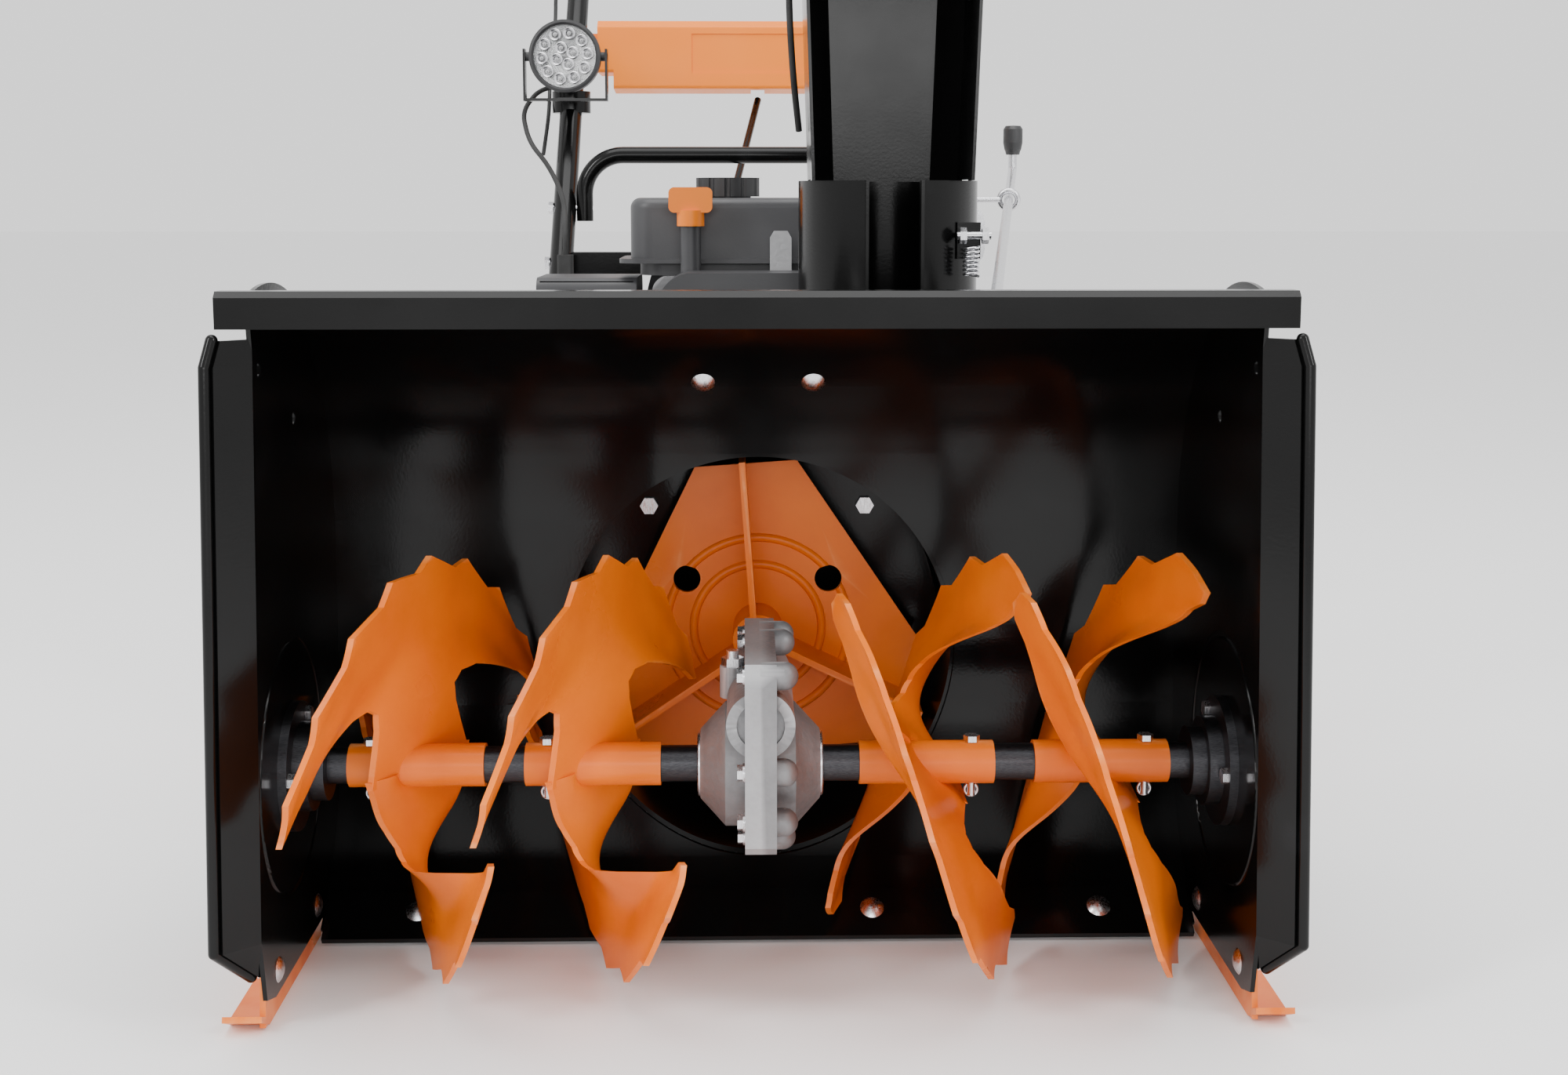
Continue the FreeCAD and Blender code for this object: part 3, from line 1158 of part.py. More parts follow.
def heater_box():
    """Moulded cover over the carburettor, on its intake neck."""
    shell = rounded_box(-196.0, -106.5, 530.0, 636.0, 412.0, 476.0, 12.0, 0)
    shell = shell.cut(box(-193.0, -109.5, 533.0, 633.0, 405.0, 473.0))
    neck = box(-110.0, -92.0, 560.0, 600.0, 430.0, 460.0)
    return fuse([shell, neck])


def belt_cover():
    z0, z1 = CHASSIS_TOP_Z, 484.0
    d0, d1 = CHASSIS_FRONT + 20.5, PARTITION_DEPTH + 6.0
    shell = rounded_box(-84.0, 84.0, d0, d1, z0, z1, 30.0, 1)
    lower = box(-84.0, 84.0, d0, d1, z0, z0 + 60.0)
    shell = fuse([shell, lower])
    inner = rounded_box(-81.5, 81.5, d0 + 2.5, d1 - 2.5, z0 - 40.0, z1 - 2.5, 28.0, 1)
    shell = shell.cut(inner)
    shell = shell.cut(rod_y(0.0, d1 - 10.0, d1 + 10.0, ENGINE_AXIS_Z, 16.0))
    return shell


# ---------------------------------------------------------------- chute


def chute_ring():
    """Toothed base ring that turns on the outlet flange, with its retaining skirt."""
    points = []
    for k in range(RING_TEETH):
        for part_angle, r in ((0.0, RING_RADIUS - 4.0), (0.3, RING_RADIUS - 4.0),
                              (0.45, RING_RADIUS), (0.85, RING_RADIUS)):
            a = math.radians((k + part_angle) * 360.0 / RING_TEETH)
            points.append((CHUTE_X + r * math.cos(a), CHUTE_DEPTH + r * math.sin(a)))
    z = CHUTE_BASE_Z + BODY_GAP
    ring = slab_z(points, z, z + 6.0)
    return ring.cut(rod_z(CHUTE_X, CHUTE_DEPTH, z - 5.0, z + 20.0, CHUTE_RADIUS - CHUTE_SHEET))


def channel_outline(half, grow):
    """Open-fronted channel section as (x, depth) pairs; grow widens it for the hollow."""
    h = half - grow
    back = CHUTE_DEPTH + CHUTE_RADIUS - grow
    crease = h - 20.0
    return [(CHUTE_X - h, CHUTE_DEPTH - 62.0), (CHUTE_X - h, CHUTE_DEPTH + 42.0),
            (CHUTE_X - crease, back), (CHUTE_X + crease, back),
            (CHUTE_X + h, CHUTE_DEPTH + 42.0), (CHUTE_X + h, CHUTE_DEPTH - 62.0)]


def channel_solid(low_half, high_half, grow, z0, z1):
    wires = []
    for half, z in ((low_half, z0), (high_half, z1)):
        wires.append(polygon([V(x, yd(d), z) for x, d in channel_outline(half, grow)]))
    return Part.makeLoft(wires, True, True)


def chute_lower():
    """Slotted round collar that opens out into a channel facing the throw."""
    z0 = CHUTE_BASE_Z + BODY_GAP
    collar = rod_z(CHUTE_X, CHUTE_DEPTH, z0 + 5.0, COLLAR_TOP_Z, CHUTE_RADIUS)
    channel = channel_solid(CHANNEL_HALF_LOW, CHANNEL_HALF_HIGH, 0.0, COLLAR_TOP_Z - 70.0, CHUTE_TOP_Z)
    hollow = fuse([rod_z(CHUTE_X, CHUTE_DEPTH, z0 - 1.0, COLLAR_TOP_Z + 1.0, CHUTE_RADIUS - CHUTE_SHEET)])
    inside = channel_solid(CHANNEL_HALF_LOW, CHANNEL_HALF_HIGH, CHUTE_SHEET,
                           COLLAR_TOP_Z - 71.0, CHUTE_TOP_Z + 1.0)
    open_front = box(CHUTE_X - 100.0, CHUTE_X + 100.0, CHUTE_DEPTH - 120.0, CHUTE_DEPTH - 58.0,
                     COLLAR_TOP_Z, CHUTE_TOP_Z + 5.0)
    round_front = rod_z(CHUTE_X, CHUTE_DEPTH, COLLAR_TOP_Z - 80.0, COLLAR_TOP_Z, CHUTE_RADIUS)
    lower_channel = channel.common(box(0.0, 220.0, 260.0, 460.0, COLLAR_TOP_Z - 71.0, COLLAR_TOP_Z))
    upper_channel = channel.cut(box(0.0, 220.0, 260.0, 460.0, COLLAR_TOP_Z - 75.0, COLLAR_TOP_Z))
    body = fuse([collar, upper_channel, lower_channel.common(round_front), chute_ring()])
    body = body.cut(hollow).cut(inside.cut(box(0.0, 220.0, 260.0, 460.0, 400.0, COLLAR_TOP_Z)))
    body = body.cut(open_front)
    slot = box(CHUTE_X - SLOT_HALF, CHUTE_X + SLOT_HALF, CHUTE_DEPTH - 90.0, CHUTE_DEPTH,
               z0 + 24.0, COLLAR_TOP_Z + 5.0)
    body = body.cut(slot)
    for side in (-1.0, 1.0):
        lip = box(CHUTE_X + side * SLOT_HALF - 1.2, CHUTE_X + side * SLOT_HALF + 1.2,
                  CHUTE_DEPTH - CHUTE_RADIUS - 6.0, CHUTE_DEPTH - CHUTE_RADIUS + 8.0,
                  z0 + 24.0, COLLAR_TOP_Z)
        body = body.fuse(lip)
    tab = box(CHUTE_X + 50.0, CHUTE_X + 68.0, CHUTE_DEPTH - 52.0, CHUTE_DEPTH - 48.0, 500.0, 528.0)
    body = fuse([body, tab.cut(rod_z(CHUTE_X, CHUTE_DEPTH, 480.0, 540.0, CHUTE_RADIUS - 1.0))])
    body = body.cut(rod_x(CHUTE_X - 100.0, CHUTE_X + 100.0, CHUTE_DEPTH + 30.0, HINGE_Z, 4.0 + BOLT_GAP))
    return body


def deflector_half():
    return CHANNEL_HALF_HIGH + 3.0


def chute_deflector():
    """Hinged cap that carries the channel on upward and bends the throw down."""
    h = deflector_half()
    d = CHUTE_DEPTH
    outline = [(d - 40.0, HINGE_Z - 20.0), (d + 84.0, HINGE_Z - 20.0), (d + 84.0, HINGE_Z + 40.0),
               (d + 62.0, HINGE_Z + 92.0), (d + 18.0, HINGE_Z + 130.0), (d - 40.0, HINGE_Z + 146.0)]
    inner = [(d - 60.0, HINGE_Z - 30.0), (d + 81.5, HINGE_Z - 30.0), (d + 81.5, HINGE_Z + 39.0),
             (d + 60.0, HINGE_Z + 90.0), (d + 16.5, HINGE_Z + 127.6), (d - 60.0, HINGE_Z + 148.0)]
    shell = slab_x(outline, CHUTE_X - h, CHUTE_X + h)
    shell = shell.cut(slab_x(inner, CHUTE_X - h + CHUTE_SHEET, CHUTE_X + h - CHUTE_SHEET))
    taper = slab_x([(d - 50.0, HINGE_Z - 30.0), (d - 8.0, HINGE_Z - 30.0), (d - 41.0, HINGE_Z + 60.0),
                    (d - 50.0, HINGE_Z + 60.0)], CHUTE_X - h - 5.0, CHUTE_X + h + 5.0)
    shell = shell.cut(taper)
    return shell.cut(rod_x(CHUTE_X - 100.0, CHUTE_X + 100.0, d + 30.0, HINGE_Z, 4.0 + BOLT_GAP))


def deflector_pivots():
    pivots = []
    for side in (-1.0, 1.0):
        x = CHUTE_X + side * deflector_half()
        head = bolt(x, yd(CHUTE_DEPTH + 30.0), HINGE_Z, (side, 0, 0), 4.0, 14.0)
        nut_x = CHUTE_X + side * (deflector_half() - 7.0)
        nut = hex_prism(nut_x, yd(CHUTE_DEPTH + 30.0), HINGE_Z, (-side, 0, 0), 13.0, 5.0)
        pivots.append(fuse([head, nut]))
    return pivots


def chute_clamp():
    """Locking bolt with two nuts on the collar's side tab."""
    x, d, z = CHUTE_X + 49.0, CHUTE_DEPTH - 60.0, 518.0
    parts = [rod_x(x, x + 26.0, d, z, 3.0), hex_prism(x + 2.0, yd(d), z, (1, 0, 0), 11.0, 5.0),
             hex_prism(x + 19.0, yd(d), z, (1, 0, 0), 11.0, 5.0)]
    plate = box(x + 7.0, x + 19.0, d - 1.0, d + 8.0, z - 2.0, z + 2.0)
    return fuse(parts + [plate])


def chute_spring():
    """Tension spring below the locking bolt."""
    x, d = CHUTE_X + 60.0, CHUTE_DEPTH - 60.0
    coil = Part.makeHelix(3.2, 22.4, 5.5)
    coil.translate(V(x, yd(d), 487.0))
    start = coil.Vertexes[0].Point
    ring = Part.Wire([Part.makeCircle(1.1, start, V(0, 1, 0.2))])
    return Part.Wire(coil).makePipeShell([ring], True, True)


def crank_point(depth):
    """Point on the crank rod's axis at a depth."""
    t = (depth - CRANK_START[1]) / (CRANK_EYE[1] - CRANK_START[1])
    x = CRANK_START[0] + t * (CRANK_EYE[0] - CRANK_START[0])
    z = CRANK_START[2] + t * (CRANK_EYE[2] - CRANK_START[2])
    return V(x, yd(depth), z)


def crank_direction():
    return (crank_point(CRANK_END_DEPTH) - crank_point(CRANK_START[1])).normalize()


def crank_rod():
    """Long rod from the chute's worm, through the eye bolt, to an arm for the knob."""
    start = crank_point(CRANK_START[1] - 16.0)
    end = crank_point(CRANK_END_DEPTH)
    d = crank_direction()
    parts = [Part.makeCylinder(5.0, (end - start).Length, start, d)]
    for k in range(5):
        at = crank_point(CRANK_START[1] - 13.0 + 6.0 * k)
        parts.append(Part.makeCylinder(7.3, 3.0, at, d))
    up = V(0, 0, 1)
    arm = Part.makeCylinder(5.0, 36.0, end, up)
    parts += [arm, Part.makeSphere(5.0, end)]
    return fuse(parts)


def crank_knob():
    """Moulded knob with a bright end collar, on the crank's arm."""
    end = crank_point(CRANK_END_DEPTH)
    z = end.z + 18.0
    profile = [(5.05, 0.0), (8.0, 0.0), (9.0, 4.0), (10.0, 6.0), (11.5, 14.0), (11.5, 30.0),
               (9.0, 34.0), (0.0, 34.5), (0.0, 19.0), (5.05, 19.0)]
    points = [V(end.x + r, end.y, z + h) for r, h in profile]
    return Part.Face(polygon(points)).revolve(V(end.x, end.y, z), V(0, 0, 1), 360.0)


def eye_bolt():
    """Eye that guides the crank rod, on a shank from the right handlebar."""
    centre = crank_point(CRANK_EYE[1])
    direction = crank_direction()
    ring = Part.makeTorus(10.0, 3.2, centre, direction)
    nut = hex_prism(HANDLE_X + TUBE_OUTER_RADIUS, centre.y, centre.z, (1, 0, 0), 12.0, 5.0)
    return fuse([ring, eye_shank(3.2), nut])


def eye_shank(radius):
    centre = crank_point(CRANK_EYE[1])
    start = (HANDLE_X - 4.0, centre.y, centre.z)
    return rod(start, (centre.x - 10.0, centre.y, centre.z), radius)


def worm_bracket():
    """Bracket from the outlet flange that holds the crank rod's worm beside the ring."""
    at = crank_point(CRANK_START[1])
    d = crank_direction()
    ring = Part.makeCylinder(12.0, 4.0, crank_point(CRANK_START[1] + 26.0), d)
    front = Part.makeCylinder(12.0, 4.0, crank_point(CRANK_START[1] - 24.0), d)
    base = box(at.x - 50.0, at.x + 16.0, CRANK_START[1] - 26.0, CRANK_START[1] + 34.0,
               CHUTE_BASE_Z - 12.0, CHUTE_BASE_Z - 8.0)
    parts = [base]
    for end in (ring, front):
        bb = end.BoundBox
        parts.append(end)
        parts.append(Part.makeBox(20.0, 4.0, 18.0, V(at.x - 10.0, (bb.YMin + bb.YMax) / 2.0 - 2.0, 426.0)))
    body = fuse(parts)
    body = body.cut(Part.makeCylinder(5.0 + RUNNING_GAP, 100.0, crank_point(CRANK_START[1] - 50.0), d))
    body = body.cut(rod_z(CHUTE_X, CHUTE_DEPTH, 400.0, CHUTE_BASE_Z, OUTLET_RADIUS))
    body = body.cut(rod_z(CHUTE_X, CHUTE_DEPTH, CHUTE_BASE_Z - 8.0, CHUTE_BASE_Z + 0.2,
                          OUTLET_RADIUS + 14.0))
    return body.cut(rod_z(CHUTE_X, CHUTE_DEPTH, CHUTE_BASE_Z, 460.0, RING_RADIUS + 1.0))


# ---------------------------------------------------------------- handlebars and controls


def handle_depth(z):
    """Depth of the handlebar's axis at a height on its long straight run."""
    slope = (HANDLE_KNEE[0] - HANDLE_LOW[0]) / (HANDLE_KNEE[1] - HANDLE_LOW[1])
    return HANDLE_LOW[0] + slope * (z - HANDLE_LOW[1])


def handle_points(x):
    return [(x, yd(HANDLE_LOW[0]), HANDLE_LOW[1]), (x, yd(HANDLE_KNEE[0]), HANDLE_KNEE[1]),
            (x, yd(HANDLE_END[0]), HANDLE_END[1])]


def handle_bar_solid(x, bore):
    return pipe(handle_points(x), 90.0, TUBE_OUTER_RADIUS, bore)


def handle_bar(side):
    bar = handle_bar_solid(side * HANDLE_X, TUBE_OUTER_RADIUS - 1.8)
    for z in BRACE_BOLT_HEIGHTS:
        bar = bar.cut(rod_x(side * HANDLE_X - 20.0, side * HANDLE_X + 20.0, handle_depth(z), z,
                            3.5 + BOLT_GAP))
    if side > 0:
        bar = bar.cut(eye_shank(3.2 + BOLT_GAP))
    return bar


def grip(side):
    """Ribbed rubber grip over the end of one handlebar."""
    start = V(side * HANDLE_X, yd(HANDLE_END[0]), HANDLE_END[1])
    back = V(0, HANDLE_KNEE[0] - HANDLE_END[0], HANDLE_KNEE[1] - HANDLE_END[1]).normalize()
    body = Part.makeCylinder(GRIP_RADIUS, GRIP_LENGTH, start - back * 8.0, back)
    ribs = []
    for k in range(9):
        at = start + back * (6.0 + 11.0 * k)
        ribs.append(Part.makeTorus(GRIP_RADIUS - 0.5, 2.0, at, back))
    body = fuse([body] + ribs)
    return body.cut(Part.makeCylinder(TUBE_OUTER_RADIUS + 0.02, GRIP_LENGTH + 5.0, start, back))


def cross_brace():
    """Bent tube across the two handlebars, its ends flattened against them."""
    x = HANDLE_X - TUBE_OUTER_RADIUS - 9.2
    d = handle_depth(536.0)
    points = [(-x, yd(d), 522.0), (-x, yd(d), 593.0), (x, yd(d), 593.0), (x, yd(d), 522.0)]
    brace = pipe(points, 42.0, 9.0, 7.2)
    hole_z = BRACE_BOLT_HEIGHTS[0]
    return brace.cut(rod_x(-x - 20.0, x + 20.0, handle_depth(hole_z), hole_z, 3.5 + BOLT_GAP))


def brace_bolts():
    bolts = []
    x = HANDLE_X
    for z in BRACE_BOLT_HEIGHTS:
        d = handle_depth(z)
        for side in (-1.0, 1.0):
            head = bolt(side * (x + TUBE_OUTER_RADIUS), yd(d), z, (side, 0, 0), 3.5, 36.0)
            bolts.append(head)
    return bolts


def handle_bracket():
    """Cross member and two risers that carry the handlebars behind the tractor frame."""
    d = handle_depth(478.0)
    x = HANDLE_X - TUBE_OUTER_RADIUS - BODY_GAP
    bar = box(-x, x, d - 16.0, d + 16.0, 466.0, 490.0)
    bar = bar.cut(box(-x + 3.0, x - 3.0, d - 13.5, d + 13.5, 468.5, 487.5))
    parts = [bar]
    for side in (-1.0, 1.0):
        xs = sorted((side * 104.0, side * 108.0))
        riser = slab_x([(CHASSIS_REAR + 0.02, 230.0), (CHASSIS_REAR + 26.0, 230.0), (d + 16.0, 440.0),
                        (d + 16.0, 470.0), (d - 16.0, 470.0), (CHASSIS_REAR + 0.02, 400.0)], xs[0], xs[1])
        flange = sorted((side * 84.0, side * 108.0))
        foot = box(flange[0], flange[1], CHASSIS_REAR + 0.02, CHASSIS_REAR + 4.0, 230.0, 328.0)
        parts += [riser, foot]
    body = fuse(parts)
    for x_bolt, z in bracket_bolt_places():
        body = body.cut(rod_y(x_bolt, CHASSIS_REAR - 5.0, CHASSIS_REAR + 10.0, z, 4.0 + BOLT_GAP))
    for side in (-1.0, 1.0):
        body = body.cut(rod_x(side * x - 20.0, side * x + 20.0, d, 478.0, 3.5 + BOLT_GAP))
    return body


def panel_outline(inset):
    """Side section of the control panel as (depth, z) pairs."""
    d0, d1 = PANEL_DEPTHS
    return [(d0 + inset, 672.0 + inset), (d0 + inset, 742.0 - inset), (d0 + 10.0, 749.0 - inset),
            (d1 - 8.0, 755.0 - inset), (d1 - inset, 748.0 - inset), (d1 - inset, 716.0 + inset),
            (d0 + 40.0, 668.0 + inset)]


def control_panel():
    """Moulded console between the handlebars, stepped lower corners and a gear lever slot."""
    shell = slab_x(panel_outline(0.0), -PANEL_HALF, PANEL_HALF)
    for side in (-1.0, 1.0):
        x0, x1 = sorted((side * (PANEL_HALF + 1.0), side * (PANEL_HALF - 18.0)))
        shell = shell.cut(box(x0, x1, 1040.0, 1160.0, 660.0, 690.0))
    shell = round_edges(shell, 4.0, along(0))
    inside = slab_x(panel_outline(3.0), -PANEL_HALF + 22.0, PANEL_HALF - 22.0)
    shell = shell.cut(inside)
    shell = shell.cut(box(-70.0, 90.0, 1040.0, 1052.0, 690.0, 734.0).cut(
        box(-70.0, 90.0, 1049.5, 1060.0, 680.0, 740.0)))
    slot = box(LEVER_X - 5.0, LEVER_X + 5.0, 1086.0, 1122.0, 740.0, 810.0)
    shell = shell.cut(slot)
    low_slot = box(SHIFT_X - 8.0, SHIFT_X + 8.0, 1060.0, 1150.0, 660.0, 736.0)
    shell = shell.cut(low_slot.common(box(-60.0, 60.0, 1050.0, 1128.0, 600.0, 736.0)))
    d, z = SHIFT_PIVOT
    pin = rod_x(-PANEL_HALF + 21.0, PANEL_HALF - 21.0, d, z, 5.0)
    lug_z = 727.0
    lug_d = handle_depth(lug_z)
    lug_x = HANDLE_X - TUBE_OUTER_RADIUS - 0.2
    lugs = [box(*sorted((side * (PANEL_HALF - 1.0), side * lug_x)), lug_d - 8.0, lug_d + 8.0,
                lug_z - 8.0, lug_z + 8.0) for side in (-1.0, 1.0)]
    return fuse([shell, pin] + lugs)


def shift_lever():
    """Speed lever: a sleeve on the pivot pin with a foot below it and a ball knob above."""
    d, z = SHIFT_PIVOT
    arm = box(LEVER_X - 2.5, LEVER_X + 2.5, d - 6.0, d + 6.0, z, z + 128.0)
    knob = Part.makeSphere(16.0, V(LEVER_X, yd(d), z + 138.0))
    sleeve = rod_x(SHIFT_X - 2.5, LEVER_X + 2.5, d, z, 8.0)
    foot = box(SHIFT_X - 2.5, SHIFT_X + 2.5, d - 6.0, d + 6.0, z - 30.0, z)
    body = fuse([arm, knob, sleeve, foot])
    return body.cut(rod_x(SHIFT_X - 10.0, LEVER_X + 10.0, d, z, 5.0 + RUNNING_GAP))


def shift_rod():
    """Rod from the foot of the speed lever down to the tractor frame."""
    start = (SHIFT_X, yd(SHIFT_PIVOT[0] - 36.0), SHIFT_PIVOT[1] - 62.0)
    end = (-42.0, yd(CHASSIS_REAR - 12.0), CHASSIS_TOP_Z)
    middle = (-42.0, yd(CHASSIS_REAR - 12.0), 470.0)
    return pipe([start, middle, end], 30.0, 4.0)


def handle_frame(side, along_bar, lift):
    """Point near a grip: a distance forward from the bar's end and a lift above its axis."""
    start = V(side * HANDLE_X, yd(HANDLE_END[0]), HANDLE_END[1])
    forward = V(0, HANDLE_KNEE[0] - HANDLE_END[0], HANDLE_KNEE[1] - HANDLE_END[1]).normalize()
    up = V(0, -forward.z, forward.y)
    if up.z < 0:
        up = up * -1.0
    return start + forward * along_bar + up * lift


def lever_bracket(side):
    """Clamp on the handlebar in front of the grip, with the ears of the clutch lever's pivot."""
    low = handle_frame(side, LEVER_PIVOT - 14.0, 0.0)
    forward = (handle_frame(side, 100.0, 0.0) - handle_frame(side, 0.0, 0.0)).normalize()
    clamp = Part.makeCylinder(TUBE_OUTER_RADIUS + 5.0, 28.0, low, forward)
    pivot = handle_frame(side, LEVER_PIVOT, 30.0)
    ears = []
    for offset in (-9.0, 6.0):
        ear = Part.makeCylinder(8.0, 3.0, V(pivot.x + offset, pivot.y, pivot.z), V(1, 0, 0))
        web = Part.makeBox(3.0, 16.0, 20.0, V(pivot.x + offset, pivot.y - 8.0, pivot.z - 20.0))
        ears += [ear, web]
    body = fuse([clamp] + ears)
    for offset in (-9.0, 6.0):
        body = body.cut(Part.makeCylinder(3.0 + RUNNING_GAP, 6.0,
                                          V(pivot.x + offset - 1.5, pivot.y, pivot.z), V(1, 0, 0)))
    tube = handle_bar_solid(side * HANDLE_X, 0.0)
    return body.cut(tube)


def clutch_lever(side):
    """Hand lever above one grip, turning on its own pin between the clamp's ears."""
    pivot = handle_frame(side, LEVER_PIVOT, 30.0)
    forward = (handle_frame(side, 100.0, 0.0) - handle_frame(side, 0.0, 0.0)).normalize()
    end = pivot - forward * 118.0 + V(0, 0, 12.0)
    middle = pivot - forward * 40.0 + V(0, 0, 12.0)
    hub = Part.makeCylinder(7.0, 11.4, V(pivot.x - 5.7, pivot.y, pivot.z), V(1, 0, 0))
    pin = Part.makeCylinder(3.0, 20.0, V(pivot.x - 10.0, pivot.y, pivot.z), V(1, 0, 0))
    bar = pipe([(pivot.x, pivot.y, pivot.z), tuple(middle), tuple(end)], 20.0, 4.5)
    tip = Part.makeSphere(6.5, end)
    return fuse([hub, pin, bar, tip])


def lamp_profile(points):
    x, d, z = LAMP
    corners = [V(x + r, yd(d + along_d), z) for r, along_d in points]
    return Part.Face(polygon(corners)).revolve(V(x, yd(d), z), V(0, 1, 0), 360.0)


def lamp_housing():
    """Round work lamp: bezel, finned bowl and the two ears it tilts on."""
    shell = lamp_profile([(34.0, -6.0), (36.0, -8.0), (LAMP_RADIUS, -7.0), (LAMP_RADIUS, 8.0),
                          (36.0, 16.0), (24.0, 30.0), (0.0, 34.0), (0.0, 31.0), (22.0, 27.0),
                          (33.0, 14.0), (34.0, 8.0)])
    x, d, z = LAMP
    parts = [shell]
    for k in range(5):
        parts.append(box(x - 16.0 + 7.0 * k, x - 13.0 + 7.0 * k, d + 24.0, d + 42.0, z - 18.0, z + 18.0))
    for side in (-1.0, 1.0):
        parts.append(rod_x(x + side * 37.0, x + side * 43.0, d + 4.0, z, 5.0))
    return fuse(parts)


def lamp_lens():
    """Clear front lens over a plate of small reflectors."""
    lens = lamp_profile([(0.0, -5.0), (33.8, -4.0), (33.8, -1.0), (0.0, -2.0)])
    x, d, z = LAMP
    plate = rod_y(x, d + 4.0, d + 7.0, z, 33.8)
    spots = []
    for count, radius in ((4, 9.0), (9, 24.0)):
        for k in range(count):
            a = 2.0 * math.pi * k / count
            spots.append(rod_y(x + radius * math.cos(a), d - 2.0, d + 5.0, z + radius * math.sin(a), 4.6))
    return fuse([lens, plate] + spots)


def lamp_bracket():
    """Stirrup round the lamp and an arm back to a clamp on the left handlebar."""
    x, d, z = LAMP
    low = z - 48.0
    parts = [box(x - 46.0, x + 46.0, d - 3.0, d + 11.0, low, low + 3.0)]
    for side in (-1.0, 1.0):
        x0, x1 = sorted((x + side * 43.4, x + side * 46.0))
        parts.append(box(x0, x1, d - 3.0, d + 11.0, low, z + 8.0))
    clamp_d = handle_depth(low)
    parts.append(box(x - 9.0, x + 9.0, d + 4.0, clamp_d, low, low + 4.0))
    parts.append(rod_z(x, clamp_d, low - 10.0, low + 14.0, TUBE_OUTER_RADIUS + 9.0))
    body = fuse(parts).cut(handle_bar_solid(-HANDLE_X, 0.0))
    for side in (-1.0, 1.0):
        body = body.cut(rod_x(x + side * 37.0, x + side * 50.0, d + 4.0, z, 5.0 + RUNNING_GAP))
    return body


def lamp_lead():
    """Lead from the lamp's back, looping out and down beside the handlebar to a plug."""
    x, d, z = LAMP
    points = [(x - 8.0, yd(d + 45.0), z - 28.0), (x - 34.0, yd(d + 44.0), z - 34.0),
              (x - 50.0, yd(d + 20.0), z - 58.0), (x - 40.0, yd(d - 10.0), z - 92.0),
              (x - 14.0, yd(d - 46.0), z - 120.0), (x + 4.0, yd(d - 74.0), z - 155.0),
              (x + 8.0, yd(d - 116.0), z - 188.0), (x + 8.0, yd(d - 116.0), z - 212.0)]
    return cord("lamp_lead", points, 2.6)


def lead_plug():
    x, d, z = LAMP
    return rounded_box(x, x + 16.0, d - 125.0, d - 107.0, z - 232.0, z - 212.0, 3.0, 2)


def clutch_cable(side):
    """Control cable from a clutch lever down the outside of its handlebar."""
    x = side * (HANDLE_X + 26.0)
    top = handle_frame(side, LEVER_PIVOT + 22.0, 26.0)
    points = [(top.x, top.y, top.z)]
    for k in range(8):
        z = 945.0 - 50.0 * k
        sway = 1.5 if k % 2 else -1.5
        points.append((x + side * sway, yd(handle_depth(z) - sway), z))
    return cord("clutch_cable", points, 2.2)


def deflector_cable():
    """Cable sleeve from the deflector's side down the chute's left edge."""
    x = CHUTE_X - CHANNEL_HALF_HIGH - 8.0
    d = CHUTE_DEPTH
    points = [(x - 0.5, yd(d - 6.0), HINGE_Z + 2.0), (x, yd(d - 8.0), 790.0), (x + 1.0, yd(d - 7.0), 740.0),
              (x + 1.5, yd(d - 3.0), 690.0), (x + 5.0, yd(d + 5.0), 640.0), (x + 10.0, yd(d + 22.0), 600.0)]
    return cord("deflector_cable", points, 2.6)


# ---------------------------------------------------------------- groups and export
def hex_bolts():
    """Every plain hex bolt and plug on the fixed frame."""
    bolts = gearbox_bolts() + bearing_bolts() + drum_bolts() + brace_bolts() + bracket_bolts()
    return bolts + [gearbox_plug()]


def bracket_bolts():
    bolts = []
    for x, z in bracket_bolt_places():
        head = bolt(x, yd(CHASSIS_REAR + 4.0), z, (0, 1, 0), 4.0, 14.0)
        nut = hex_prism(x, yd(CHASSIS_REAR - SHEET), z, (0, -1, 0), 13.0, 5.0)
        bolts.append(fuse([head, nut]))
    return bolts


def both(shape):
    return [shape, mirrored(shape)]


